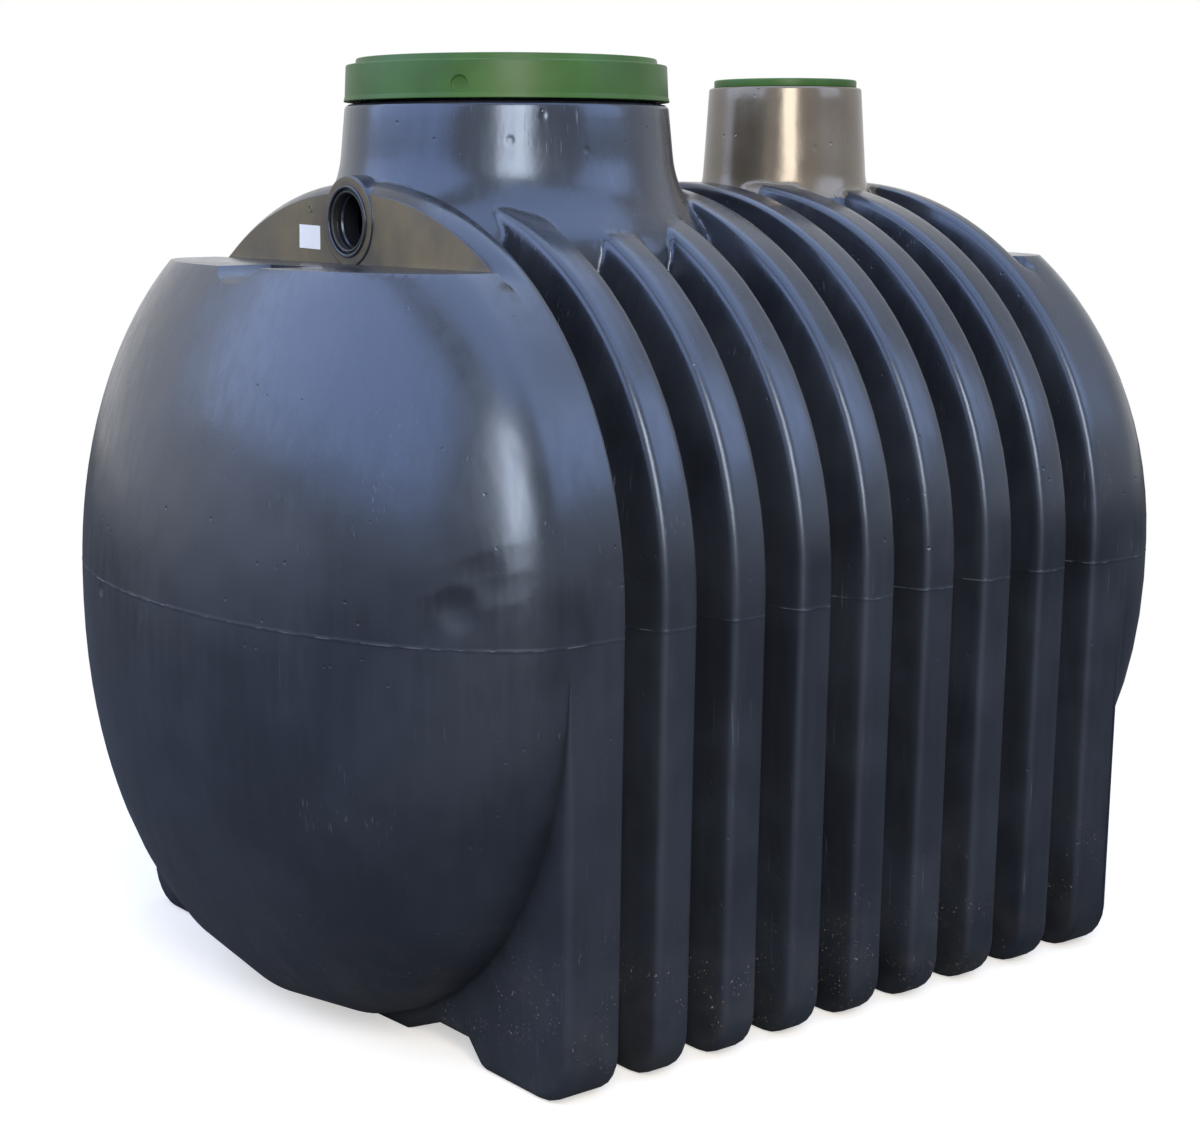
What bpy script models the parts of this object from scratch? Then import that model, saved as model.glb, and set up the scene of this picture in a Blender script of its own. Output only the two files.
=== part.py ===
"""Ribbed polyethylene septic tank with two necks, their covers and a pipe socket at each end.

Metres, +Z up. The origin is on the ground under the middle of the tank. The tank's length runs
along Y with the inlet at -Y, and X is its width.
"""

import math
from dataclasses import dataclass

import bmesh
import bpy
from mathutils import Vector

# Section of the barrel
HALF_WIDTH = 0.808
SPRING_HEIGHT = 0.900
ARCH_RISE = 0.750
ARCH_POWER = 2.1
SIDE_DRAFT = 0.0225
FOOT_RADIUS = 0.085
WALL = 0.010

# Underside, measured in from each side: a foot, a lifting channel, then the middle pad
FOOT_WIDTH = 0.273
CHANNEL_OUTER_SLOPE = 0.045
CHANNEL_WIDTH = 0.117
CHANNEL_INNER_SLOPE = 0.112
CHANNEL_HEIGHT = 0.046

# Ribs and end bands along the barrel
RIB_COUNT = 7
RIB_PITCH = 0.1678
RIB_TOP_WIDTH = 0.086
RIB_EDGE_RADIUS = 0.016
RIB_FLANK_RUN = 0.024
GROOVE_DEPTH = 0.100
FRONT_BAND_WIDTH = 0.128
REAR_BAND_WIDTH = 0.110

# Bulged ends: their curve is fuller low down than at the top, and the nose sits low
FRONT_END_DEPTH = 0.375
REAR_END_DEPTH = 0.393
END_HIGH_POWER = 1.77
END_LOW_POWER = 1.96
END_CLEARANCE = 0.002
END_DROP_POWER = 2.15
NOSE_SINK = 0.169
NOSE_SINK_POWER = 0.85
END_LIP = 0.004

# Cut-back at each end: a level shelf below the crest and an upright face with a rounded edge
SHELF_DROP = 0.159
INLET_SETBACK = 0.071
OUTLET_SETBACK = 0.040
FACE_EDGE_RISE = 0.022
FACE_EDGE_RUN = 0.036
FACE_EDGE_FADE = 0.050
FACE_BORDER = 0.015
FACE_REBATE = 0.005

# Shallow scoop in the lip of each shelf, below the pipe
SCOOP_RADIUS = 0.115
SCOOP_DEPTH = 0.033
SCOOP_START = 0.060

# Pipe sockets, each in a round hood on the upright face
PIPE_RADIUS = 0.055
SOCKET_RADIUS = 0.0705
SOCKET_EDGE = 0.006
SEAL_WIDTH = 0.009
SEAL_SEAT_DEPTH = 0.014
SEAL_LIP_DEPTH = 0.010
SEAL_LIP_BEVEL = 0.0036
SOCKET_PROUD = 0.018
SOCKET_TAIL = 0.046
INLET_ABOVE_SHELF = 0.083
OUTLET_FALL = 0.012
HOOD_RADIUS = 0.090
HOOD_PROUD = 0.003
HOOD_DEPTH = 0.045

# Manhole neck, as wide at its shoulder as its cover, and the cover over its spigot
COVER_RADIUS = 0.331
MANHOLE_OFFSET = 0.457
MANHOLE_RISE = 0.155
MANHOLE_TAPER = 0.096
MANHOLE_FLARE = 0.102
MANHOLE_COLLAR_DROP = 0.115
COLLAR_EDGE = 0.010
FLARE_STRETCH = 1.6
SHOULDER_RADIUS = 0.012
SPIGOT_CLEARANCE = 0.017
SPIGOT_HEIGHT = 0.062
COVER_LIFT = 0.010
COVER_SKIRT_HEIGHT = 0.068
COVER_WALL = 0.008
COVER_EDGE = 0.003
COVER_DISC_INSET = 0.022
COVER_DISC_HEIGHT = 0.013

# Inspection neck and its cap
INSPECTION_OFFSET = 1.232
INSPECTION_RADIUS = 0.171
INSPECTION_RISE = 0.206
INSPECTION_TAPER = 0.067
INSPECTION_FLARE = 0.044
INSPECTION_COLLAR_DROP = 0.062
RIM_RADIUS = 0.006
CAP_INSET = 0.011
CAP_THICKNESS = 0.013
CAP_EDGE = 0.004
CAP_LIFT = 0.0045
CAP_PLUG_INSET = 0.021
CAP_PLUG_DEPTH = 0.040
RUNNING_CLEARANCE = 0.005

# Fineness
SEAT_GAP = 0.0003
ARCH_LOW_STEPS = 5
ARCH_HIGH_STEPS = 4
CORNER_STEPS = 2
BAND_SIDE_STEPS = 4
END_STEPS = 6
EDGE_STEPS = 2
FLARE_STEPS = 3
NECK_STEPS = 34
SOCKET_STEPS = 18
OVERRUN = 0.030

# Places that follow from the sizes above
CREST = SPRING_HEIGHT + ARCH_RISE
SHELF_HEIGHT = CREST - SHELF_DROP
INLET_HEIGHT = SHELF_HEIGHT + INLET_ABOVE_SHELF
OUTLET_HEIGHT = INLET_HEIGHT - OUTLET_FALL
MANHOLE_TOP = CREST + MANHOLE_RISE
INSPECTION_TOP = CREST + INSPECTION_RISE
NECK_FOOT = SPRING_HEIGHT + ARCH_RISE / 2
END_DROP = SPRING_HEIGHT - END_CLEARANCE
MANHOLE_RADIUS = COVER_RADIUS
MANHOLE_COLLAR_RADIUS = MANHOLE_RADIUS + MANHOLE_FLARE
SPIGOT_RADIUS = COVER_RADIUS - COVER_WALL - SPIGOT_CLEARANCE
INSPECTION_COLLAR_RADIUS = INSPECTION_RADIUS + INSPECTION_FLARE
CAP_RADIUS = INSPECTION_RADIUS - CAP_INSET
CAP_PLUG_RADIUS = INSPECTION_RADIUS - CAP_PLUG_INSET
BARREL_LENGTH = FRONT_BAND_WIDTH + REAR_BAND_WIDTH + (RIB_COUNT + 1) * RIB_PITCH - RIB_TOP_WIDTH
TANK_LENGTH = FRONT_END_DEPTH + BARREL_LENGTH + REAR_END_DEPTH
FRONT_FACE = FRONT_END_DEPTH - TANK_LENGTH / 2
REAR_FACE = FRONT_FACE + BARREL_LENGTH
MANHOLE_Y = FRONT_FACE + MANHOLE_OFFSET
INSPECTION_Y = FRONT_FACE + INSPECTION_OFFSET


@dataclass(frozen=True)
class PipeEnd:
    """One end of the tank: its foot face, the direction into the tank, and the sizes that differ."""

    name: str
    face: float
    inward: float
    band_width: float
    depth: float
    setback: float
    socket_height: float

    def at(self, distance):
        """Place along the tank at a distance in from the foot face; outside it is negative."""
        return self.face + self.inward * distance


INLET = PipeEnd("inlet", FRONT_FACE, 1.0, FRONT_BAND_WIDTH, FRONT_END_DEPTH, INLET_SETBACK, INLET_HEIGHT)
OUTLET = PipeEnd("outlet", REAR_FACE, -1.0, REAR_BAND_WIDTH, REAR_END_DEPTH, OUTLET_SETBACK, OUTLET_HEIGHT)


def material(name, colour, roughness):
    """One plain plastic or rubber finish."""
    made = bpy.data.materials.new(name)
    made.use_nodes = True
    shader = made.node_tree.nodes["Principled BSDF"]
    shader.inputs["Base Color"].default_value = (*colour, 1.0)
    shader.inputs["Roughness"].default_value = roughness
    shader.inputs["Metallic"].default_value = 0.0
    return made


def add_object(name, mesh_data, finish=None):
    """Turn a finished bmesh into an object of its own."""
    bmesh.ops.recalc_face_normals(mesh_data, faces=mesh_data.faces)
    mesh = bpy.data.meshes.new(name)
    mesh_data.to_mesh(mesh)
    mesh_data.free()
    mesh.shade_smooth()
    mesh.set_sharp_from_angle(angle=math.radians(35))
    made = bpy.data.objects.new(name, mesh)
    bpy.context.scene.collection.objects.link(made)
    if finish:
        mesh.materials.append(finish)
    return made


def add_cutter(name, mesh_data):
    """A shape that only cuts or joins others."""
    cutter = add_object(name, mesh_data)
    cutter.hide_render = True
    cutter.display_type = "WIRE"
    return cutter


def combine(target, tool, operation="DIFFERENCE"):
    """Cut, join or trim one object with another."""
    step = target.modifiers.new(tool.name, "BOOLEAN")
    step.solver = "EXACT"
    step.operation = operation
    step.object = tool


def loft(loops, first_cap=None, last_cap=None, closed=False):
    """Skin over a row of loops with equal counts. A cap is 'flat' or a point; closed joins last to first."""
    skin = bmesh.new()
    rows = [[skin.verts.new(point) for point in loop] for loop in loops]
    count = len(rows[0])
    pairs = list(zip(rows, rows[1:]))
    if closed:
        pairs.append((rows[-1], rows[0]))
    for near, far in pairs:
        for index in range(count):
            after = (index + 1) % count
            skin.faces.new((near[index], near[after], far[after], far[index]))
    for row, cap in ((rows[0], first_cap), (rows[-1], last_cap)):
        if cap == "flat":
            skin.faces.new(row)
        elif cap is not None:
            pole = skin.verts.new(cap)
            for index in range(count):
                skin.faces.new((row[index], row[(index + 1) % count], pole))
    bmesh.ops.remove_doubles(skin, verts=skin.verts, dist=SEAT_GAP / 10)
    return skin


def turned(profile, centre_y, steps):
    """Solid of revolution about an upright axis; the profile is a closed run of (radius, height)."""
    turns = [2 * math.pi * (step + 0.5) / steps for step in range(steps)]
    return [[Vector((radius * math.sin(turn), centre_y + radius * math.cos(turn), height)) for turn in turns]
            for radius, height in profile]


def turned_along_y(profile, centre_z, steps):
    """The same about a level axis along the tank; the profile is a run of (radius, y)."""
    turns = [2 * math.pi * (step + 0.5) / steps for step in range(steps)]
    return [[Vector((radius * math.sin(turn), along, centre_z + radius * math.cos(turn))) for turn in turns]
            for radius, along in profile]


def quarter_round(radius, steps):
    """Points of a quarter circle as (run, rise) shares of its corner, from one tangent to the other."""
    turns = [math.pi / 2 * step / steps for step in range(steps + 1)]
    return [(radius * (1 - math.cos(turn)), radius * (1 - math.sin(turn))) for turn in turns]


def arch_angles():
    """Angles up the arch, with one where the shelf's level meets it."""
    meets = arch_angle_at(SHELF_HEIGHT, 0.0)
    below = [meets * step / ARCH_LOW_STEPS for step in range(ARCH_LOW_STEPS)]
    above = [meets + (math.pi / 2 - meets) * step / ARCH_HIGH_STEPS for step in range(ARCH_HIGH_STEPS + 1)]
    return below + above


def arch_angle_at(height, inset):
    """Angle up the arch at which it reaches a height."""
    share = (height - SPRING_HEIGHT) / (ARCH_RISE - inset)
    return math.asin(min(max(share, 0.0), 1.0) ** (ARCH_POWER / 2))


def arch_point(angle, inset):
    """A point of the arch, at an angle from the spring line up to the crest."""
    across = (HALF_WIDTH - inset) * max(math.cos(angle), 0.0) ** (2 / ARCH_POWER)
    up = (ARCH_RISE - inset) * max(math.sin(angle), 0.0) ** (2 / ARCH_POWER)
    if angle >= math.pi / 2 - 1e-6:
        across = 0.0
    return across, SPRING_HEIGHT + up


def lowered(height, drop):
    """Height of an arch point where the upright face's edge is rounded off, fading out at the shelf."""
    share = min(max((height - SHELF_HEIGHT) / FACE_EDGE_FADE, 0.0), 1.0)
    return height - drop * share


def half_section(groove, inset, side_steps=1, ceiling=None, drop=0.0):
    """Right half of the barrel's section as (x, z), from the bottom centre up to the crest.

    groove is how far the skin is drawn in here, inset is measured from the skin into the wall, and
    side_steps is how many stretches the upright side is cut into. A ceiling cuts the arch off level,
    and drop lowers it above the shelf.
    """
    floor = groove + inset
    roof = max(groove, CHANNEL_HEIGHT) + inset
    foot_start = HALF_WIDTH - FOOT_WIDTH
    channel_end = foot_start - CHANNEL_OUTER_SLOPE
    channel_start = channel_end - CHANNEL_WIDTH
    points = [
        (0.0, floor),
        (channel_start - CHANNEL_INNER_SLOPE, floor),
        (channel_start, roof),
        (channel_end, roof),
        (foot_start, floor),
    ]
    radius = FOOT_RADIUS - inset
    middle_z = floor + radius
    side = HALF_WIDTH - SIDE_DRAFT * (SPRING_HEIGHT - middle_z) - groove - inset
    for run, rise in reversed(quarter_round(radius, CORNER_STEPS)):
        points.append((side - run, floor + rise))
    for step in range(1, side_steps):
        rise = (SPRING_HEIGHT - middle_z) * step / side_steps
        points.append((side + SIDE_DRAFT * rise, middle_z + rise))
    for angle in arch_angles():
        x, z = arch_point(angle, groove + inset)
        z = lowered(z, drop)
        points.append((x, z if ceiling is None else min(z, ceiling)))
    return points


def whole_loop(half, along):
    """Both halves of a section as one loop at a place along the tank."""
    right = [Vector((x, along, z)) for x, z in half]
    left = [Vector((-x, along, z)) for x, z in reversed(half[1:-1])]
    return right + left


def section_loop(along, groove=0.0, inset=0.0, side_steps=1, ceiling=None, drop=0.0):
    """The barrel's section at a place along the tank."""
    return whole_loop(half_section(groove, inset, side_steps, ceiling, drop), along)


def end_half_section(inset, ceiling=None):
    """Right half of the bulged end's root, matched point for point with half_section."""
    points = []
    for x, z in half_section(0.0, 0.0, BAND_SIDE_STEPS)[:-len(arch_angles())]:
        angle = math.atan2(x, SPRING_HEIGHT - z)
        wide = HALF_WIDTH - inset
        drop = END_DROP - inset
        reach = ((math.cos(angle) / drop) ** END_DROP_POWER
                 + (math.sin(angle) / wide) ** END_DROP_POWER) ** (-1 / END_DROP_POWER)
        points.append((reach * math.sin(angle), SPRING_HEIGHT - reach * math.cos(angle)))
    points += [arch_point(angle, inset) for angle in arch_angles()]
    if ceiling is not None:
        points = [(x, min(z, ceiling)) for x, z in points]
    return points


def end_point(x, z, share):
    """Where a point of the root has drawn in to, at a share of the bulged end's depth."""
    angle = math.atan2(x, SPRING_HEIGHT - z)
    power = END_LOW_POWER + (END_HIGH_POWER - END_LOW_POWER) * (1 - math.cos(angle)) / 2
    scale = (1 - share ** power) ** (1 / power)
    middle_z = SPRING_HEIGHT - NOSE_SINK * (1 - scale) ** NOSE_SINK_POWER
    return x * scale, middle_z + (z - SPRING_HEIGHT) * scale


def rib_profile(inset):
    """Half of a rib's profile from its middle outwards, as (distance along, groove depth there)."""
    top = RIB_TOP_WIDTH / 2
    shoulder = [] if inset else [(top, RIB_EDGE_RADIUS)]
    return [
        (top - RIB_EDGE_RADIUS, 0.0),
        *shoulder,
        (top + RIB_FLANK_RUN - inset, GROOVE_DEPTH),
        (RIB_PITCH / 2 - SEAT_GAP / 2, GROOVE_DEPTH),
    ]


def rib_middle(number):
    """Place along the tank of one rib's middle, counted from 1 at the inlet end."""
    return INLET.at(FRONT_BAND_WIDTH - RIB_TOP_WIDTH / 2 + number * RIB_PITCH)


def make_rib(number, finish):
    """One hollow rib of the barrel with half a groove on each side of it."""
    middle = rib_middle(number)
    outer = rib_profile(0.0)
    inner = rib_profile(WALL)
    loops = [section_loop(middle - along, groove) for along, groove in reversed(outer)]
    loops += [section_loop(middle + along, groove) for along, groove in outer]
    loops += [section_loop(middle + along, groove, WALL) for along, groove in reversed(inner)]
    loops += [section_loop(middle - along, groove, WALL) for along, groove in inner]
    return add_object(f"rib_{number}", loft(loops, closed=True), finish)


def band_flank(end, inset):
    """Loops of an end band's top and of its flank down to the middle of the first groove."""
    middle = end.band_width - RIB_TOP_WIDTH / 2
    return [section_loop(end.at(middle + along), groove, inset, BAND_SIDE_STEPS)
            for along, groove in rib_profile(inset)]


def band_outside(end):
    """Loops of an end band's outer skin: foot face, shelf, upright face, rounded edge and flank."""
    loops = [section_loop(end.at(depth), side_steps=BAND_SIDE_STEPS, ceiling=SHELF_HEIGHT)
             for depth in (0.0, end.setback)]
    run = min(FACE_EDGE_RUN, end.band_width - RIB_EDGE_RADIUS - end.setback)
    for across, down in quarter_round(1.0, EDGE_STEPS)[:-1]:
        edge = end.at(end.setback + run * across)
        loops.append(section_loop(edge, side_steps=BAND_SIDE_STEPS, drop=FACE_EDGE_RISE * down))
    return loops + band_flank(end, 0.0)


def band_inside(end):
    """Loops of the room inside an end band, from the bulged end's root to the first groove."""
    ceiling = SHELF_HEIGHT - WALL
    root = end_half_section(WALL + END_LIP, ceiling - END_LIP)
    behind = end.at(end.setback + WALL)
    loops = [
        whole_loop(root, end.face),
        whole_loop(root, end.at(WALL)),
        section_loop(end.at(WALL), 0.0, WALL, BAND_SIDE_STEPS, ceiling),
        section_loop(behind, 0.0, WALL, BAND_SIDE_STEPS, ceiling),
        section_loop(behind, 0.0, WALL, BAND_SIDE_STEPS, drop=FACE_EDGE_RISE),
    ]
    return loops + band_flank(end, WALL)


def make_band(name, end, finish):
    """End band: skin, upright foot face, shelf and the border round the pipe face."""
    loops = band_outside(end) + band_inside(end)[::-1]
    return add_object(name, loft(loops, closed=True), finish)


def band_void(end):
    """Room inside an end band, which trims what hangs into it."""
    past = end.at(end.band_width + RIB_PITCH / 2)
    loops = band_inside(end)
    loops.append(section_loop(past, GROOVE_DEPTH, WALL, BAND_SIDE_STEPS))
    return add_cutter(f"{end.name}_void", loft(loops, "flat", "flat"))


def face_outline(inset, foot):
    """Right half of the pipe face's panel as (x, z), from its foot's middle up to its crest."""
    start = arch_angle_at(foot, inset)
    steps = ARCH_LOW_STEPS + ARCH_HIGH_STEPS
    turns = [start + (math.pi / 2 - start) * step / steps for step in range(steps + 1)]
    edge = [arch_point(turn, inset) for turn in turns]
    return [(0.0, foot)] + [(x, lowered(z, FACE_EDGE_RISE)) for x, z in edge]


def face_plate(end, clearance, overrun):
    """Plate of the pipe face's form; overrun lengthens it past both sides of the wall."""
    half = face_outline(FACE_BORDER - clearance, SHELF_HEIGHT - FACE_REBATE + SEAT_GAP - clearance)
    near = end.at(end.setback - overrun)
    far = end.at(end.setback + WALL + overrun)
    return loft([whole_loop(half, near), whole_loop(half, far)], "flat", "flat")


def hood_loft(end, clearance):
    """Round hood about a pipe socket, from the upright face back towards the neck."""
    front = end.at(end.setback - HOOD_PROUD - clearance)
    back = end.at(end.setback + HOOD_DEPTH + clearance)
    radius = HOOD_RADIUS + clearance
    profile = [(radius, front), (radius, back)]
    if not clearance:
        profile = [(radius - HOOD_PROUD, front), (radius, end.at(end.setback)), (radius, back)]
    return loft(turned_along_y(profile, end.socket_height, SOCKET_STEPS), "flat", "flat")


def make_face(end, finish):
    """Upright pipe face: a panel set into the band's border, with the hood that holds the socket."""
    panel = add_object(f"{end.name}_face", face_plate(end, 0.0, 0.0), finish)
    combine(panel, add_cutter(f"{end.name}_hood", hood_loft(end, 0.0)), "UNION")
    return panel


def cut_back(name, end, depth, height):
    """Block of air over a height, from beyond the bulged end to a depth behind the foot face."""
    block = bmesh.new()
    bmesh.ops.create_cube(block, size=1.0)
    length = end.depth + OVERRUN + depth
    middle = end.at(depth - length / 2)
    top = CREST + MANHOLE_RISE / 2
    for vert in block.verts:
        vert.co.x *= 2 * HALF_WIDTH + OVERRUN
        vert.co.y = middle + vert.co.y * length
        vert.co.z = (height + top) / 2 + vert.co.z * (top - height)
    return add_cutter(name, block)


def dome_loft(end, inset):
    """Solid of the bulged end, from the band's face to its nose."""
    reach = end.depth - inset
    half = end_half_section(inset)
    loops = [whole_loop(half, end.at(OVERRUN))] if inset else []
    for step in range(END_STEPS):
        share = math.sin(math.pi / 2 * step / END_STEPS)
        drawn_in = [end_point(x, z, share) for x, z in half]
        loops.append(whole_loop(drawn_in, end.at(-SEAT_GAP - reach * share)))
    nose = Vector((0.0, end.at(-SEAT_GAP - reach), SPRING_HEIGHT - NOSE_SINK))
    return loft(loops, "flat", nose)


def scoop_loft(end, clearance):
    """Shallow trough that dips the shelf's lip, lying along the tank."""
    middle_z = SHELF_HEIGHT + SCOOP_RADIUS - SCOOP_DEPTH
    radius = SCOOP_RADIUS + clearance
    profile = [(radius, end.at(clearance - SCOOP_START)), (radius, end.at(-end.depth - OVERRUN))]
    return loft(turned_along_y(profile, middle_z, SOCKET_STEPS), "flat", "flat")


def make_end(name, end, finish):
    """Bulged end shell with its level shelf and the scoop in the shelf's lip."""
    shell = add_object(name, dome_loft(end, 0.0), finish)
    void = add_cutter(f"{name}_void", dome_loft(end, WALL))
    combine(void, cut_back(f"{name}_void_keep", end, 2 * OVERRUN, SHELF_HEIGHT - WALL))
    combine(void, add_cutter(f"{name}_scoop_wall", scoop_loft(end, WALL)))
    combine(shell, cut_back(f"{name}_cut_back", end, OVERRUN, SHELF_HEIGHT))
    combine(shell, add_cutter(f"{name}_scoop", scoop_loft(end, 0.0)))
    combine(shell, void)


def neck_radius(top, radius, taper, height):
    """Outer radius of a tapered neck at a height."""
    return radius + taper * (top - height)


def neck_outline(top, radius, taper, collar_radius, collar_top):
    """Outside of a neck from its foot up to the tapered wall: collar, rounded edge, hollow flare."""
    edge = collar_radius - COLLAR_EDGE
    reach = edge - neck_radius(top, radius, taper, collar_top)
    start = collar_top + FLARE_STRETCH * reach
    wall = neck_radius(top, radius, taper, start)
    points = [(collar_radius, NECK_FOOT), (collar_radius, collar_top - COLLAR_EDGE)]
    for step in range(FLARE_STEPS + 1):
        share = step / FLARE_STEPS
        near, mid, far = (1 - share) ** 2, 2 * share * (1 - share), share ** 2
        points.append((near * edge + mid * wall + far * wall,
                       near * collar_top + mid * (collar_top + reach) + far * start))
    return points


def manhole_outline():
    """Outside of the manhole neck below its shoulder."""
    return neck_outline(MANHOLE_TOP, MANHOLE_RADIUS, MANHOLE_TAPER, MANHOLE_COLLAR_RADIUS,
                        CREST - MANHOLE_COLLAR_DROP)


def inspection_outline():
    """Outside of the inspection neck below its rim."""
    return neck_outline(INSPECTION_TOP, INSPECTION_RADIUS, INSPECTION_TAPER, INSPECTION_COLLAR_RADIUS,
                        CREST - INSPECTION_COLLAR_DROP)


def neck_cutter(name, centre_y, outline, radius, top):
    """The neck's whole form with its clearance, which opens the barrel for it."""
    profile = [(across + SEAT_GAP, height) for across, height in outline + [(radius, top)]]
    return add_cutter(name, loft(turned(profile, centre_y, NECK_STEPS), "flat", "flat"))


def barrel_void():
    """Room inside the grooves' floors, which trims what hangs into the tank."""
    loops = [section_loop(FRONT_FACE + OVERRUN, GROOVE_DEPTH, WALL),
             section_loop(REAR_FACE - OVERRUN, GROOVE_DEPTH, WALL)]
    return add_cutter("barrel_void", loft(loops, "flat", "flat"))


def neck_ring(outline, rim):
    """Closed profile of a neck: its outside, its rim, and the same outline one wall further in."""
    inside = [(radius - WALL, height) for radius, height in outline]
    return outline + rim + inside[::-1]


def make_manhole_neck(finish):
    """Large neck: flared foot, tapered wall, rounded shoulder and the spigot that the cover fits over."""
    spigot_top = MANHOLE_TOP + SPIGOT_HEIGHT
    shoulder = quarter_round(SHOULDER_RADIUS, 2)
    rim = [(MANHOLE_RADIUS - run, MANHOLE_TOP - rise) for run, rise in shoulder]
    rim += [
        (SPIGOT_RADIUS, MANHOLE_TOP),
        (SPIGOT_RADIUS, spigot_top),
        (SPIGOT_RADIUS - WALL, spigot_top),
        (SPIGOT_RADIUS - WALL, MANHOLE_TOP - WALL),
        (MANHOLE_RADIUS - WALL, MANHOLE_TOP - SHOULDER_RADIUS - WALL),
    ]
    profile = neck_ring(manhole_outline(), rim)
    return add_object("manhole_neck", loft(turned(profile, MANHOLE_Y, NECK_STEPS), closed=True), finish)


def make_inspection_neck(finish):
    """Small neck with a plain rounded rim."""
    bore = CAP_PLUG_RADIUS + RUNNING_CLEARANCE
    rim = [(INSPECTION_RADIUS - run, INSPECTION_TOP - rise) for run, rise in quarter_round(RIM_RADIUS, 1)]
    rim += [
        (bore, INSPECTION_TOP),
        (bore, INSPECTION_TOP - CAP_PLUG_DEPTH - WALL),
    ]
    profile = neck_ring(inspection_outline(), rim)
    return add_object("inspection_neck", loft(turned(profile, INSPECTION_Y, NECK_STEPS), closed=True), finish)


def make_cover(finish):
    """Manhole cover: skirt, flat rim and raised middle, hollow underneath."""
    foot = MANHOLE_TOP + COVER_LIFT
    rim = foot + COVER_SKIRT_HEIGHT
    seat = MANHOLE_TOP + SPIGOT_HEIGHT + SEAT_GAP
    crown = rim + COVER_DISC_HEIGHT
    bore = COVER_RADIUS - COVER_WALL
    disc = COVER_RADIUS - COVER_DISC_INSET
    profile = [
        (bore, seat),
        (bore, foot),
        (COVER_RADIUS, foot),
        (COVER_RADIUS, rim - COVER_EDGE),
        (COVER_RADIUS - COVER_EDGE, rim),
        (disc, rim),
        (disc - COVER_EDGE, crown),
    ]
    return add_object("manhole_cover", loft(turned(profile, MANHOLE_Y, NECK_STEPS), "flat", "flat"), finish)


def make_cap(finish):
    """Inspection cap: a disc on the rim with a plug that fits the neck."""
    seat = INSPECTION_TOP + SEAT_GAP
    underside = INSPECTION_TOP + CAP_LIFT
    crown = underside + CAP_THICKNESS
    plug_foot = INSPECTION_TOP - CAP_PLUG_DEPTH
    profile = [
        (CAP_PLUG_RADIUS - COVER_WALL, underside),
        (CAP_PLUG_RADIUS - COVER_WALL, plug_foot),
        (CAP_PLUG_RADIUS, plug_foot),
        (CAP_PLUG_RADIUS, seat),
        (CAP_RADIUS, seat),
        (CAP_RADIUS, crown - CAP_EDGE),
        (CAP_RADIUS - CAP_EDGE, crown),
    ]
    solid = loft(turned(profile, INSPECTION_Y, NECK_STEPS), "flat", "flat")
    return add_object("inspection_cap", solid, finish)


def make_socket(end, finish):
    """Pipe socket: a thick collar through the hood with a seat for its seal."""
    mouth = end.setback - SOCKET_PROUD
    tail = end.at(end.setback + WALL + SOCKET_TAIL)
    seat = PIPE_RADIUS + SEAL_WIDTH
    seat_end = end.at(mouth + SEAL_SEAT_DEPTH)
    profile = [
        (SOCKET_RADIUS, tail),
        (SOCKET_RADIUS, end.at(mouth + SOCKET_EDGE)),
        (SOCKET_RADIUS - SOCKET_EDGE, end.at(mouth)),
        (seat, end.at(mouth)),
        (seat, seat_end),
        (PIPE_RADIUS, seat_end),
        (PIPE_RADIUS, tail),
    ]
    ring = loft(turned_along_y(profile, end.socket_height, SOCKET_STEPS), closed=True)
    return add_object(f"{end.name}_socket", ring, finish)


def make_seal(end, finish):
    """Rubber ring in the mouth of a socket."""
    outer = PIPE_RADIUS + SEAL_WIDTH - SEAT_GAP
    back = end.setback - SOCKET_PROUD + SEAL_SEAT_DEPTH - SEAT_GAP
    front = back - SEAL_LIP_DEPTH
    profile = [
        (outer, end.at(back)),
        (outer, end.at(front)),
        (PIPE_RADIUS + SEAL_LIP_BEVEL, end.at(front - SEAL_LIP_BEVEL)),
        (PIPE_RADIUS, end.at(front)),
        (PIPE_RADIUS, end.at(back)),
    ]
    ring = loft(turned_along_y(profile, end.socket_height, SOCKET_STEPS), closed=True)
    return add_object(f"{end.name}_seal", ring, finish)


def socket_cutter(end):
    """Round hole for a socket, with its clearance."""
    radius = SOCKET_RADIUS + SEAT_GAP
    profile = [(radius, end.at(end.setback - SOCKET_PROUD - OVERRUN)),
               (radius, end.at(end.setback + WALL + SOCKET_TAIL + SEAT_GAP))]
    hole = loft(turned_along_y(profile, end.socket_height, SOCKET_STEPS), "flat", "flat")
    return add_cutter(f"{end.name}_hole", hole)


def fit_end(end, band, neck, neck_hole, black, rubber):
    """Fit one pipe end: the upright face with its hood, socket and seal, and the room for them."""
    opening = add_cutter(f"{end.name}_opening", face_plate(end, SEAT_GAP, HOOD_PROUD))
    hood_room = add_cutter(f"{end.name}_hood_room", hood_loft(end, SEAT_GAP))
    front_air = cut_back(f"{end.name}_air", end, end.setback + WALL + SEAT_GAP, NECK_FOOT - OVERRUN)
    void = band_void(end)
    hole = socket_cutter(end)
    combine(neck_hole, cut_back(f"{end.name}_wall_keep", end, end.setback + WALL, NECK_FOOT - OVERRUN))
    for cutter in (opening, hood_room, hole, neck_hole):
        combine(band, cutter)
    for cutter in (front_air, void, hood_room, hole):
        combine(neck, cutter)
    combine(make_face(end, black), hole)
    make_socket(end, black)
    make_seal(end, rubber)


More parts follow.
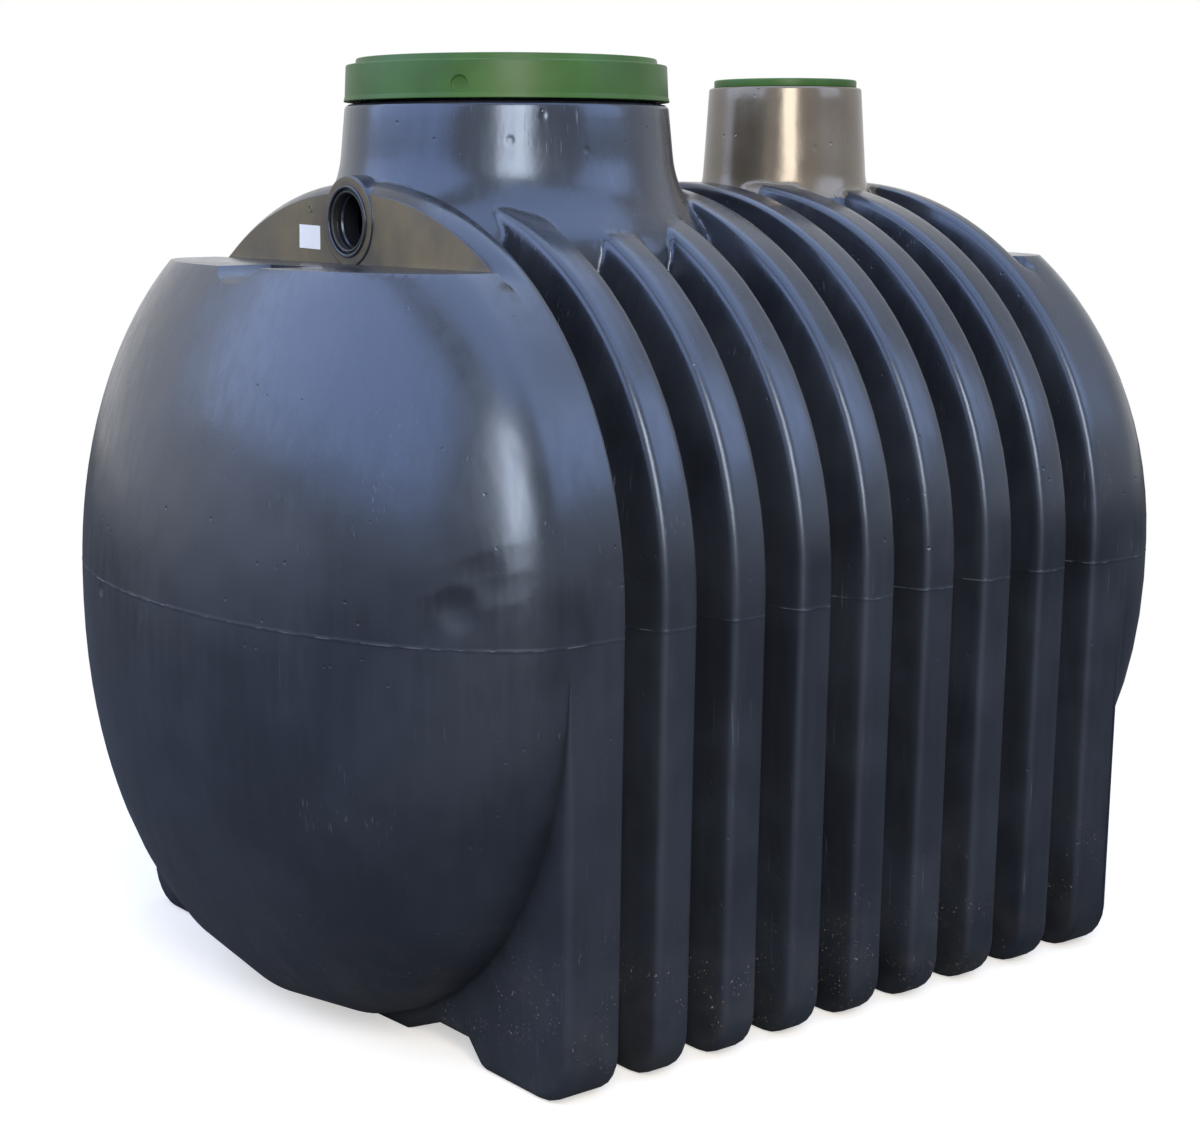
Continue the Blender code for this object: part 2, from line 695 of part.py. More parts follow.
def main():
    """Build the whole tank."""
    for old in list(bpy.data.objects):
        bpy.data.objects.remove(old, do_unlink=True)
    black = material("black_polyethylene", (0.012, 0.014, 0.019), 0.38)
    green = material("green_polyethylene", (0.030, 0.110, 0.030), 0.45)
    rubber = material("seal_rubber", (0.010, 0.010, 0.010), 0.70)

    manhole_hole = neck_cutter("manhole_hole", MANHOLE_Y, manhole_outline(), MANHOLE_RADIUS, MANHOLE_TOP)
    inspection_hole = neck_cutter("inspection_hole", INSPECTION_Y, inspection_outline(),
                                  INSPECTION_RADIUS, INSPECTION_TOP)
    front_band = make_band("front_band", INLET, black)
    rear_band = make_band("rear_band", OUTLET, black)
    for number in range(1, RIB_COUNT + 1):
        rib = make_rib(number, black)
        combine(rib, manhole_hole)
        combine(rib, inspection_hole)

    room = barrel_void()
    manhole_neck = make_manhole_neck(black)
    combine(manhole_neck, room)
    inspection_neck = make_inspection_neck(black)
    combine(inspection_neck, room)
    fit_end(INLET, front_band, manhole_neck, manhole_hole, black, rubber)
    fit_end(OUTLET, rear_band, inspection_neck, inspection_hole, black, rubber)

    make_end("front_end", INLET, black)
    make_end("rear_end", OUTLET, black)
    make_cover(green)
    make_cap(green)


main()
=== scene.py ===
"""Looks of the ribbed septic tank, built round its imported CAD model.

The moulded body is one seamless skin: a loft from nose to nose along the tank, joined with the two
necks, cut back at both ends for the pipe faces and hollowed out. Covers, sockets and seals are spun.
Lengths are in metres, +Z up, with the inlet end at -Y.
"""

import logging
import math
from collections.abc import Iterator, Sequence
from contextlib import contextmanager
from dataclasses import dataclass
from enum import Enum
from functools import cached_property

import bmesh
import bpy
from mathutils import Matrix, Vector
from mathutils.kdtree import KDTree

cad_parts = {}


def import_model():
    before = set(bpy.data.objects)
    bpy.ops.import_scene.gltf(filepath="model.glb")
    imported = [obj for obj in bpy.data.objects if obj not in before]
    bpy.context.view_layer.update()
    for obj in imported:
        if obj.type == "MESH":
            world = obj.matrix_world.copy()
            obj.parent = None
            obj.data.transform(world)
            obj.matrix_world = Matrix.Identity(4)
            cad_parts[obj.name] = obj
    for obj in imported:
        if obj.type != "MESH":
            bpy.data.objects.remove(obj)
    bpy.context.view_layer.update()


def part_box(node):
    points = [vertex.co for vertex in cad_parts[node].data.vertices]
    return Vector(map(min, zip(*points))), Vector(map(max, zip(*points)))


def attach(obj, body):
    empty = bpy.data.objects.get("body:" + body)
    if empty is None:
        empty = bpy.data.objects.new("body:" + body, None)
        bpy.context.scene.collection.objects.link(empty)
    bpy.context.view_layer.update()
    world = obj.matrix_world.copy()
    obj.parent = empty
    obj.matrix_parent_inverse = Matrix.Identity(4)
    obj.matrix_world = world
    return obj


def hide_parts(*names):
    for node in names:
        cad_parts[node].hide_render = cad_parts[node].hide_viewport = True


MERGE_DISTANCE = 0.00005
CREASE_ANGLE = math.radians(32.0)
CORNER_STEPS = 4
UP = Vector((0.0, 0.0, 1.0))
WHITE = (1.0, 1.0, 1.0, 1.0)

# Sizes of the CAD part that its boxes don't give
CAD_SOCKET_PROUD = 0.018
FRONT_BAND_WIDTH = 0.128
REAR_BAND_WIDTH = 0.110
COVER_CLEARANCE = 0.010

Socket = bpy.types.NodeSocket
Value = Socket | float | tuple[float, ...]

log = logging.getLogger("septic_tank")


class Carrier(Enum):
    """Bodies of the frame that the pieces ride on."""

    TANK = "tank"
    COVER = "manhole_cover"
    CAP = "inspection_cap"


class Slot(Enum):
    """Material slots of the record."""

    SHELL = "tank_shell"
    COVER = "cover_plastic"
    SEAL = "seal_rubber"


class Origin(Enum):
    """Solids that the moulded skin is joined from, as the material number of their faces."""

    BARREL = 0
    NECK = 1


class Join(Enum):
    """Ways to combine two solids."""

    ADD = "UNION"
    CUT = "DIFFERENCE"


# Mesh helpers


def rounded_run(corners: list[Sequence[float]], radii: Sequence[float], steps: int) -> list[Vector]:
    """Round the inner corners of an open run of points with arcs.

    Args:
        corners: The run's corners, in two dimensions.
        radii: One radius for each inner corner.
        steps: Stretches of each arc; every corner gets the same count, however flat it is.

    Returns:
        The run with each inner corner replaced by steps + 1 points.
    """
    points = [Vector(corner) for corner in corners]
    run = [points[0]]
    for before, corner, after, radius in zip(points, points[1:], points[2:], radii):
        back, ahead = before - corner, after - corner
        room = 0.49 * min(back.length, ahead.length)
        back.normalize()
        ahead.normalize()
        half_turn = (math.pi - back.angle(ahead)) / 2
        reach = min(radius * math.tan(half_turn), room)
        start, end = corner + back * reach, corner + ahead * reach
        bisector = back + ahead
        if bisector.length < 1e-4:
            run += [start.lerp(end, step / steps) for step in range(steps + 1)]
            continue
        centre = corner + bisector.normalized() * reach / math.sin(half_turn)
        turn = (start - centre).angle_signed(end - centre)
        for step in range(steps + 1):
            spoke = (start - centre).copy()
            spoke.rotate(Matrix.Rotation(-turn * step / steps, 2))
            run.append(centre + spoke)
    return run + [points[-1]]


def filled_run(points: list[Vector], longest: float) -> list[Vector]:
    """Cut long stretches of a run into equal shorter ones.

    Args:
        points: The run.
        longest: The longest stretch that stays whole.

    Returns:
        The run with points added.
    """
    run = [points[0]]
    for near, far in zip(points, points[1:]):
        count = max(1, math.ceil((far - near).length / longest - 0.01))
        run += [near.lerp(far, step / count) for step in range(1, count + 1)]
    return run


def lofted(loops: list[list[Vector]]) -> bmesh.types.BMesh:
    """Wrap a grid round a row of rings, one row of the grid to each ring.

    Args:
        loops: Rings with equal counts of points; a ring whose points coincide is a pole.

    Returns:
        A closed mesh, when the first and the last ring are poles.
    """
    skin = bmesh.new()
    around = len(loops[0])
    bmesh.ops.create_grid(skin, x_segments=around, y_segments=len(loops) - 1, size=1.0)
    skin.verts.ensure_lookup_table()
    for row, loop in enumerate(loops):
        for column in range(around + 1):
            skin.verts[row * (around + 1) + column].co = loop[column % around]
    bmesh.ops.remove_doubles(skin, verts=skin.verts, dist=MERGE_DISTANCE)
    bmesh.ops.recalc_face_normals(skin, faces=skin.faces)
    return skin


def spun(profile: list[Vector], centre: Vector, axis: Vector, steps: int) -> bmesh.types.BMesh:
    """Spin a profile once round an axis.

    Args:
        profile: Points as (radius, distance along the axis), ends on the axis or closing on each other.
        centre: Point of the axis that distances start from.
        axis: Direction of the axis.
        steps: Segments of the turn.

    Returns:
        A closed mesh.
    """
    side = axis.orthogonal().normalized()
    skin = bmesh.new()
    verts = [skin.verts.new(centre + side * point.x + axis * point.y) for point in profile]
    edges = [skin.edges.new(pair) for pair in zip(verts, verts[1:])]
    bmesh.ops.spin(skin, geom=verts + edges, cent=centre, axis=axis, angle=2 * math.pi, steps=steps,
                   use_merge=True)
    bmesh.ops.remove_doubles(skin, verts=skin.verts, dist=MERGE_DISTANCE)
    bmesh.ops.recalc_face_normals(skin, faces=skin.faces)
    return skin


def append_mesh(target: bmesh.types.BMesh, part: bmesh.types.BMesh) -> None:
    """Add one mesh to another and free it.

    Args:
        target: The mesh that grows.
        part: The mesh that is added.
    """
    mesh = bpy.data.meshes.new("part")
    part.to_mesh(mesh)
    part.free()
    target.from_mesh(mesh)
    bpy.data.meshes.remove(mesh)


@contextmanager
def edited(piece: bpy.types.Object) -> Iterator[bmesh.types.BMesh]:
    """Open a piece's mesh for editing, and write it back at the end.

    Args:
        piece: The piece.

    Yields:
        Its mesh.
    """
    skin = bmesh.new()
    skin.from_mesh(piece.data)
    yield skin
    skin.to_mesh(piece.data)
    skin.free()


def shade(mesh: bpy.types.Mesh) -> None:
    """Shade a mesh smooth, with crisp edges where it turns sharply."""
    mesh.shade_smooth()
    mesh.set_sharp_from_angle(angle=CREASE_ANGLE)


def add_piece(name: str, skin: bmesh.types.BMesh, finish: bpy.types.Material | None = None
              ) -> bpy.types.Object:
    """Turn a finished mesh into a smooth-shaded object.

    Args:
        name: Name of the piece.
        skin: The mesh, which is freed.
        finish: Its material; a solid that only joins or cuts has none.

    Returns:
        The object, at the origin.
    """
    mesh = bpy.data.meshes.new(name)
    skin.to_mesh(mesh)
    skin.free()
    shade(mesh)
    if finish:
        mesh.materials.append(finish)
    piece = bpy.data.objects.new(name, mesh)
    bpy.context.scene.collection.objects.link(piece)
    return piece


def carried(piece: bpy.types.Object, carrier: Carrier, slot: Slot, *nodes: str) -> None:
    """Let a finished piece ride on its body in the place of CAD nodes, and report it.

    Args:
        piece: The piece.
        carrier: The body that it moves with.
        slot: The record's material slot; not used.
        nodes: CAD nodes that it stands for.
    """
    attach(piece, carrier.value)
    if nodes:
        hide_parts(*nodes)
    log.info("%s: %d faces", piece.name, len(piece.data.polygons))


def combine(piece: bpy.types.Object, tool: bpy.types.Object, how: Join) -> None:
    """Join a solid to a piece or cut it away, and remove the tool.

    Args:
        piece: The solid that changes.
        tool: The solid that joins or cuts.
        how: Which of the two.
    """
    step = piece.modifiers.new(how.value, "BOOLEAN")
    step.solver = "EXACT"
    step.operation = how.value
    step.object = tool
    graph = bpy.context.evaluated_depsgraph_get()
    result = bpy.data.meshes.new_from_object(piece.evaluated_get(graph))
    piece.modifiers.clear()
    piece.data = result
    bpy.data.objects.remove(tool)


# Form of the moulded body


@dataclass(frozen=True)
class TankForm:
    """Driving dimensions of the moulded body, the same as the CAD part's."""

    half_width: float = 0.808
    spring_height: float = 0.900
    arch_rise: float = 0.750
    arch_power: float = 2.1
    side_draft: float = 0.0225
    foot_radius: float = 0.085
    wall: float = 0.010
    foot_width: float = 0.273
    channel_outer_slope: float = 0.045
    channel_width: float = 0.117
    channel_inner_slope: float = 0.112
    channel_height: float = 0.046
    channel_radius: float = 0.015
    rib_count: int = 7
    rib_pitch: float = 0.1678
    rib_top_width: float = 0.086
    rib_flank_run: float = 0.024
    rib_corner_share: float = 0.2
    rib_top_radius: float = 0.019
    groove_radius: float = 0.012
    groove_depth: float = 0.100
    shelf_drop: float = 0.159
    edge_inset: float = 0.021
    edge_run: float = 0.036
    edge_power: float = 1.7
    edge_fade: float = 0.060
    edge_fade_top: float = 0.022
    end_high_power: float = 1.77
    end_low_power: float = 1.96
    end_drop: float = 0.898
    end_drop_power: float = 2.15
    nose_sink: float = 0.169
    nose_sink_power: float = 0.85
    foot_edge_radius: float = 0.020
    foot_edge_share: float = 0.6

    @property
    def rib_corner_shift(self) -> float:
        """How far a rib's top reaches past its width, before its corners are rounded."""
        return self.rib_flank_run * self.rib_corner_share

    @property
    def crest(self) -> float:
        """Height of the barrel's crest."""
        return self.spring_height + self.arch_rise

    @property
    def shelf_height(self) -> float:
        """Height of the level shelf at both ends."""
        return self.crest - self.shelf_drop


@dataclass(frozen=True)
class Fineness:
    """How finely the moulded body is divided.

    Each ring in front of the pipe face has a share of its setback and a share of the edge's inset.
    """

    corner_steps: int = 3
    foot_steps: int = 6
    side_steps: int = 9
    arch_low_steps: int = 12
    arch_high_steps: int = 28
    arch_split: float = math.radians(47.0)
    rib_steps: int = 4
    longest_along: float = 0.016
    end_steps: int = 40
    edge_steps: int = 4
    face_rings: tuple[tuple[float, float], ...] = ((0.4, 0.0), (0.82, 0.0), (0.97, 1.0), (1.0, 1.0))
    room_steps: int = 8


@dataclass(frozen=True)
class PipeEnd:
    """One end of the tank, placed from the frame."""

    name: str
    face: float
    inward: float
    band_width: float
    depth: float
    setback: float
    socket_height: float

    def at(self, distance: float) -> float:
        """Place along the tank at a distance in from the foot face; outside it is negative."""
        return self.face + self.inward * distance


class Outline:
    """The body's outlines across the tank."""

    def __init__(self, form: TankForm, fine: Fineness) -> None:
        """Keep the sizes.

        Args:
            form: Sizes of the body.
            fine: Its divisions.
        """
        self.form = form
        self.fine = fine

    def arch(self, inset: float) -> list[Vector]:
        """Points up the arch from the spring line to the crest, closer together near the top.

        Args:
            inset: Distance in from the skin.

        Returns:
            Points as (x, z).
        """
        form, fine = self.form, self.fine
        angles = [fine.arch_split * step / fine.arch_low_steps for step in range(fine.arch_low_steps)]
        angles += [fine.arch_split + (math.pi / 2 - fine.arch_split) * step / fine.arch_high_steps
                   for step in range(fine.arch_high_steps + 1)]
        power = 2 / form.arch_power
        wide, tall = form.half_width - inset, form.arch_rise - inset
        points = [Vector((wide * max(math.cos(angle), 0.0) ** power,
                          form.spring_height + tall * math.sin(angle) ** power)) for angle in angles]
        points[-1].x = 0.0
        return points

    def under(self, groove: float, inset: float = 0.0) -> list[Vector]:
        """Right half of the underside and the upright side, from the bottom's middle to below the spring.

        Args:
            groove: How far the skin is drawn in here.
            inset: Distance in from the skin.

        Returns:
            Points as (x, z).
        """
        form, fine = self.form, self.fine
        floor = groove + inset
        roof = max(groove, form.channel_height) + inset
        foot_start = form.half_width - form.foot_width
        channel_end = foot_start - form.channel_outer_slope
        channel_start = channel_end - form.channel_width
        side = form.half_width - groove - inset
        run = rounded_run([
            (0.0, floor),
            (channel_start - form.channel_inner_slope, floor),
            (channel_start, roof),
            (channel_end, roof),
            (foot_start, floor),
            (side - form.side_draft * (form.spring_height - floor), floor),
        ], [form.channel_radius] * 4, fine.corner_steps)
        corner = rounded_run([run[-2], run[-1], Vector((side, form.spring_height))],
                             [form.foot_radius - inset], fine.foot_steps)
        upright = [corner[-2].lerp(corner[-1], step / fine.side_steps) for step in range(1, fine.side_steps)]
        return run[:-1] + corner[1:-1] + upright

    def half(self, groove: float, inset: float = 0.0, edge: float = 0.0) -> list[Vector]:
        """Right half of the whole outline, from the bottom's middle up to the crest.

        Args:
            groove: How far the skin is drawn in here.
            inset: Distance in from the skin.
            edge: How far the part above the shelf is drawn in besides, for the edge of the pipe face.

        Returns:
            Points as (x, z).
        """
        form = self.form
        start = form.shelf_height + form.edge_fade_top - form.edge_fade
        points = self.under(groove, inset)
        for outer, inner in zip(self.arch(groove + inset), self.arch(groove + inset + edge)):
            share = min(max((outer.y - start) / form.edge_fade, 0.0), 1.0)
            points.append(outer.lerp(inner, share * share * (3 - 2 * share)))
        return points

    def end_root(self, inset: float) -> list[Vector]:
        """Right half of the bulged end's root, matched point for point with the outline.

        Args:
            inset: Distance in from the skin.

        Returns:
            Points as (x, z).
        """
        form = self.form
        points = []
        for point in self.under(0.0):
            angle = math.atan2(point.x, form.spring_height - point.y)
            reach = ((math.cos(angle) / (form.end_drop - inset)) ** form.end_drop_power
                     + (math.sin(angle) / (form.half_width - inset)) ** form.end_drop_power
                     ) ** (-1 / form.end_drop_power)
            points.append(Vector((reach * math.sin(angle), form.spring_height - reach * math.cos(angle))))
        return points + self.arch(inset)

    def drawn_in(self, point: Vector, share: float) -> Vector:
        """Where a point of the bulged end's root has drawn in to, at a share of the end's depth.

        Args:
            point: The point as (x, z).
            share: 0 at the root and 1 at the nose.

        Returns:
            The point as (x, z).
        """
        form = self.form
        angle = math.atan2(point.x, form.spring_height - point.y)
        power = form.end_low_power + (form.end_high_power - form.end_low_power) * (1 - math.cos(angle)) / 2
        scale = max(1 - share ** power, 0.0) ** (1 / power)
        middle = form.spring_height - form.nose_sink * (1 - scale) ** form.nose_sink_power
        return Vector((point.x * scale, middle + (point.y - form.spring_height) * scale))


def mirrored_ring(half: list[Vector], along: list[float]) -> list[Vector]:
    """Both halves of an outline as one ring.

    Args:
        half: Right half as (x, z), from the bottom's middle to the crest.
        along: Place along the tank of each of its points.

    Returns:
        The ring's points.
    """
    right = [Vector((point.x, place, point.y)) for point, place in zip(half, along)]
    left = [Vector((-point.x, point.y, point.z)) for point in reversed(right[1:-1])]
    return right + left


@dataclass(frozen=True)
class Dent:
    """A shallow knock in the moulded skin."""

    middle: tuple[float, float, float]
    radius: float
    depth: float
    margin: float = 1.3
    cells: tuple[float, ...] = (0.5, 0.25, 0.12)

    def press(self, skin: bmesh.types.BMesh) -> None:
        """Divide the skin finely round the dent and push it in.

        Args:
            skin: The body's mesh, with fresh normals.
        """
        for cell in self.cells:
            near = dict.fromkeys(edge for face in skin.faces if self.touches(face) for edge in face.edges
                                 if edge.calc_length() > cell * self.radius)
            bmesh.ops.subdivide_edges(skin, edges=list(near), cuts=1, use_grid_fill=True)
            loose = [face for face in skin.faces if len(face.verts) > 4]
            bmesh.ops.triangulate(skin, faces=loose)
        skin.normal_update()
        shares = [(vert, (vert.co - Vector(self.middle)).length / self.radius) for vert in skin.verts]
        moved = [(vert, share) for vert, share in shares if share < 1]
        outward = sum((vert.normal for vert, _ in moved), Vector()).normalized()
        for vert, share in moved:
            vert.co -= outward * self.depth * (1 - share * share) ** 2

    def touches(self, face: bmesh.types.BMFace) -> bool:
        """Whether a face lies in the dent or close round it."""
        reach = self.margin * self.radius + max(edge.calc_length() for edge in face.edges) / 2
        return (face.calc_center_median() - Vector(self.middle)).length < reach


@dataclass
class MouldedBody:
    """The tank's one moulded skin: ribbed barrel, bulged ends, necks, shelves and pipe faces."""

    form: TankForm
    fine: Fineness
    inlet: PipeEnd
    outlet: PipeEnd
    manhole_y: float
    inspection_y: float
    manhole_top: float
    inspection_top: float
    manhole_radius: float = 0.331
    manhole_taper: float = 0.096
    manhole_collar_radius: float = 0.433
    manhole_collar_drop: float = 0.115
    spigot_radius: float = 0.306
    spigot_height: float = 0.062
    shoulder_radius: float = 0.012
    inspection_radius: float = 0.171
    inspection_taper: float = 0.067
    inspection_collar_radius: float = 0.215
    inspection_collar_drop: float = 0.062
    rim_radius: float = 0.006
    rim_longest: float = 0.03
    spigot_foot_radius: float = 0.004
    spigot_edge_radius: float = 0.002
    small_mouth_wall: float = 0.016
    small_mouth_depth: float = 0.05
    mouth_step: float = 0.008
    mouth_slope: float = 0.010
    flare_rise: float = 0.102
    flare_rise_small: float = 0.052
    flare_foot_radius: float = 0.100
    flare_radius: float = 0.240
    flare_steps: int = 9
    neck_steps: int = 128
    strip_height: float = 0.150
    strip_width: float = 0.030
    strip_proud: float = 0.005
    strip_root: float = 0.003
    strip_sink: float = 0.002
    strip_drop: float = 0.004
    strip_steps: tuple[int, int] = (32, 24)
    hood_radius: float = 0.090
    hood_proud: float = 0.003
    hood_depth: float = 0.075
    hood_edge: float = 0.005
    hood_back_edge: float = 0.0001
    hood_steps: int = 64
    socket_radius: float = 0.0705
    air_height: float = 0.25
    scoop_steps: int = 96
    scoop_radius: float = 0.115
    scoop_depth: float = 0.033
    scoop_start: float = 0.060
    lip_radius: float = 0.005
    lip_angle: float = math.radians(28.0)
    dents: tuple[Dent, ...] = (
        Dent((0.698, -0.914, 0.930), 0.050, 0.0050),
        Dent((0.716, -0.878, 0.985), 0.060, 0.0030),
        Dent((-0.304, -1.096, 0.842), 0.020, 0.0030),
        Dent((0.277, -0.493, 1.730), 0.013, 0.0011),
        Dent((0.305, -0.435, 1.777), 0.011, 0.0010),
        Dent((0.336, -0.353, 1.712), 0.010, 0.0008),
        Dent((0.168, 0.412, 1.723), 0.010, 0.0008),
    )
    seam_height: float = 0.861
    seam_half_width: float = 0.0025
    seam_margin: float = 0.006
    seam_proud: float = 0.0006
    fillet_reach: float = 0.014
    fillet_cell: float = 0.0084
    fillet_rounds: int = 3
    fillet_passes: int = 8
    fillet_narrowing: float = 0.6
    fillet_pull: float = 0.5
    straight: float = 0.99
    upright: float = 0.9
    touching: float = 0.001
    clear: float = 0.002
    neck_finish_fall: float = 1.2
    overrun: float = 0.030

    def __post_init__(self) -> None:
        """Prepare the outlines."""
        self.outline = Outline(self.form, self.fine)

    def rib_run(self) -> list[Vector]:
        """The barrel's profile between the two end bands.

        Returns:
            Points as (place along the tank, groove depth).
        """
        form = self.form
        top = form.rib_top_width / 2
        corners = [Vector((self.inlet.at(self.inlet.setback + form.edge_run), 0.0))]
        first = self.inlet.at(self.inlet.band_width - top)
        for number in range(form.rib_count + 1):
            near = first + number * form.rib_pitch
            far = near + form.rib_pitch
            corners += [
                (near + top - form.rib_corner_shift, 0.0),
                (near + top + form.rib_flank_run, form.groove_depth),
                (far - top - form.rib_flank_run, form.groove_depth),
                (far - top + form.rib_corner_shift, 0.0),
            ]
        corners.append(Vector((self.outlet.at(self.outlet.setback + form.edge_run), 0.0)))
        radii = [form.rib_top_radius, form.groove_radius, form.groove_radius, form.rib_top_radius]
        run = rounded_run(corners, radii * (form.rib_count + 1), self.fine.rib_steps)
        return filled_run(run, self.fine.longest_along)

    def end_loops(self, end: PipeEnd) -> list[list[Vector]]:
        """Rings of one end, from the nose to the rounded edge behind its pipe face.

        Args:
            end: Which end.

        Returns:
            The rings.
        """
        form, fine = self.form, self.fine
        root = self.outline.end_root(0.0)
        loops = []
        for step in range(fine.end_steps, -1, -1):
            share = math.sin(math.pi / 2 * step / fine.end_steps)
            half = [self.outline.drawn_in(point, share) for point in root]
            loops.append(mirrored_ring(half, [end.at(-end.depth * share)] * len(half)))
        band = self.outline.half(0.0)
        for step in range(fine.edge_steps + 1):
            turn = math.pi / 2 * step / fine.edge_steps
            half, along = [], []
            for outer, inner in zip(band, root):
                gap = inner - outer
                radius = min(form.foot_edge_radius, form.foot_edge_share * gap.length)
                half.append(outer + gap.normalized() * radius * (1 - math.sin(turn)))
                along.append(end.at(radius * (1 - math.cos(turn))))
            loops.append(mirrored_ring(half, along))
        for share, inset_share in fine.face_rings:
            half = self.outline.half(0.0, edge=form.edge_inset * inset_share)
            loops.append(mirrored_ring(half, [end.at(end.setback * share)] * len(half)))
        for step in range(1, fine.edge_steps * 2 + 1):
            share = step / (fine.edge_steps * 2)
            half = self.outline.half(0.0, edge=form.edge_inset * (1 - share) ** form.edge_power)
            loops.append(mirrored_ring(half, [end.at(end.setback + form.edge_run * share)] * len(half)))
        return loops

    def outer_solid(self) -> bpy.types.Object:
        """The body as a full solid without its necks.

        Returns:
            The solid.
        """
        middle = []
        for point in self.rib_run()[1:-1]:
            half = self.outline.half(point.y)
            middle.append(mirrored_ring(half, [point.x] * len(half)))
        loops = self.end_loops(self.inlet) + middle + self.end_loops(self.outlet)[::-1]
        return add_piece("tank_body", lofted(loops))

    def room_solid(self) -> bpy.types.Object:
        """The room inside the body.

        Returns:
            The solid to cut away.
        """
        form = self.form
        ceiling = form.shelf_height - form.wall
        root = self.outline.end_root(form.wall)
        loops = []
        for end, order in ((self.inlet, 1), (self.outlet, -1)):
            rings = []
            for step in range(self.fine.room_steps, -1, -1):
                share = math.sin(math.pi / 2 * step / self.fine.room_steps)
                half = [self.outline.drawn_in(point, share) for point in root]
                half = [Vector((point.x, min(point.y, ceiling))) for point in half]
                rings.append(mirrored_ring(half, [end.at(-(end.depth - form.wall) * share)] * len(half)))
            behind = end.at(end.setback + form.wall)
            half = self.outline.half(0.0, form.wall, form.edge_inset)
            low = [Vector((point.x, min(point.y, ceiling))) for point in half]
            rings.append(mirrored_ring(low, [end.at(form.wall)] * len(low)))
            rings.append(mirrored_ring(low, [behind] * len(low)))
            rings.append(mirrored_ring(half, [behind + end.inward * form.wall / 10] * len(half)))
            if order > 0:
                loops += rings
                for point in self.inner_run():
                    half = self.outline.half(point.y, form.wall)
                    loops.append(mirrored_ring(half, [point.x] * len(half)))
            else:
                loops += rings[::-1]
        return add_piece("tank_room", lofted(loops))

    def inner_run(self) -> list[Vector]:
        """The room's profile between the end bands.

        Returns:
            Points as (place along the tank, groove depth).
        """
        form = self.form
        top = form.rib_top_width / 2 + form.rib_corner_shift
        flank = form.rib_top_width / 2 + form.rib_flank_run - form.wall
        first = self.inlet.at(self.inlet.band_width - form.rib_top_width / 2)
        run = []
        for number in range(form.rib_count + 1):
            near = first + number * form.rib_pitch
            far = near + form.rib_pitch
            run += [
                Vector((near + top - form.wall, 0.0)),
                Vector((near + flank + form.wall, form.groove_depth)),
                Vector((far - flank - form.wall, form.groove_depth)),
                Vector((far - top + form.wall, 0.0)),
            ]
        return run

    def neck_run(self, top: float, radius: float, taper: float, collar_radius: float,
                 collar_top: float, rise: float) -> list[Vector]:
        """Outside of a neck from its foot up its soft flare to the tapered wall, as (radius, height).

        Args:
            top: Height of the neck's top.
            radius: Radius there.
            taper: How much wider the wall gets for each metre down.
            collar_radius: Radius of the flare's foot.
            collar_top: Height of the flare's foot.
            rise: Height of the flare.

        Returns:
            The profile.
        """
        start = collar_top + rise
        run = rounded_run([
            (collar_radius, self.form.spring_height + self.form.arch_rise / 2),
            (collar_radius, collar_top),
            (radius + taper * (top - start), start),
            (radius, top),
        ], [self.flare_foot_radius, self.flare_radius], self.flare_steps)
        return run[:-1]

    def neck_solids(self) -> tuple[bpy.types.Object, bpy.types.Object]:
        """Both necks' outer forms, and the bores through them.

        Returns:
            The solid to join and the solid to cut away.
        """
        crest = self.form.crest
        wall = self.form.wall
        large = self.neck_run(self.manhole_top, self.manhole_radius, self.manhole_taper,
                              self.manhole_collar_radius, crest - self.manhole_collar_drop, self.flare_rise)
        small = self.neck_run(self.inspection_top, self.inspection_radius, self.inspection_taper,
                              self.inspection_collar_radius, crest - self.inspection_collar_drop,
                              self.flare_rise_small)
        spigot_top = self.manhole_top + self.spigot_height
        large_rim = rounded_run([
            large[-1],
            (self.manhole_radius, self.manhole_top),
            (self.spigot_radius, self.manhole_top),
            (self.spigot_radius, spigot_top),
            (0.0, spigot_top),
        ], [self.shoulder_radius, self.spigot_foot_radius, self.spigot_edge_radius], CORNER_STEPS)
        small_rim = rounded_run([
            small[-1],
            (self.inspection_radius, self.inspection_top),
            (0.0, self.inspection_top),
        ], [self.rim_radius], CORNER_STEPS)
        outer = bmesh.new()
        bore = bmesh.new()
        for outside, rim, place, top, mouth, depth in (
                (large, large_rim, self.manhole_y, spigot_top, self.spigot_radius - wall,
                 self.spigot_height),
                (small, small_rim, self.inspection_y, self.inspection_top,
                 self.inspection_radius - self.small_mouth_wall, self.small_mouth_depth)):
            centre = Vector((0.0, place, 0.0))
            profile = [Vector((0.0, outside[0].y))] + outside + filled_run(rim, self.rim_longest)[1:]
            append_mesh(outer, spun(profile, centre, UP, self.neck_steps))
            inside = [Vector((0.0, outside[0].y - self.overrun))]
            inside += [Vector((point.x - wall, point.y)) for point in outside]
            inside[1].y -= self.overrun
            step_height = top - depth - wall
            inside += [Vector(pair) for pair in (
                (mouth + self.mouth_step, step_height - self.mouth_slope), (mouth, step_height),
                (mouth, top + self.overrun), (0.0, top + self.overrun))]
            append_mesh(bore, spun(inside, centre, UP, self.neck_steps))
        strip = bmesh.new()
        around, up = self.strip_steps
        bmesh.ops.create_uvsphere(strip, u_segments=around, v_segments=up, radius=0.5)
        bmesh.ops.scale(strip, verts=strip.verts,
                        vec=(self.strip_width, 2 * (self.strip_proud + self.strip_root), self.strip_height))
        wall_out = self.inspection_radius + self.inspection_taper * self.strip_height / 2
        bmesh.ops.translate(strip, verts=strip.verts, vec=(
            0.0, self.inspection_y - wall_out + self.strip_sink,
            self.inspection_top - self.strip_height / 2 - self.strip_drop))
        append_mesh(outer, strip)
        for made in outer.faces:
            made.material_index = Origin.NECK.value
        return add_piece("neck_forms", outer), add_piece("neck_bores", bore)

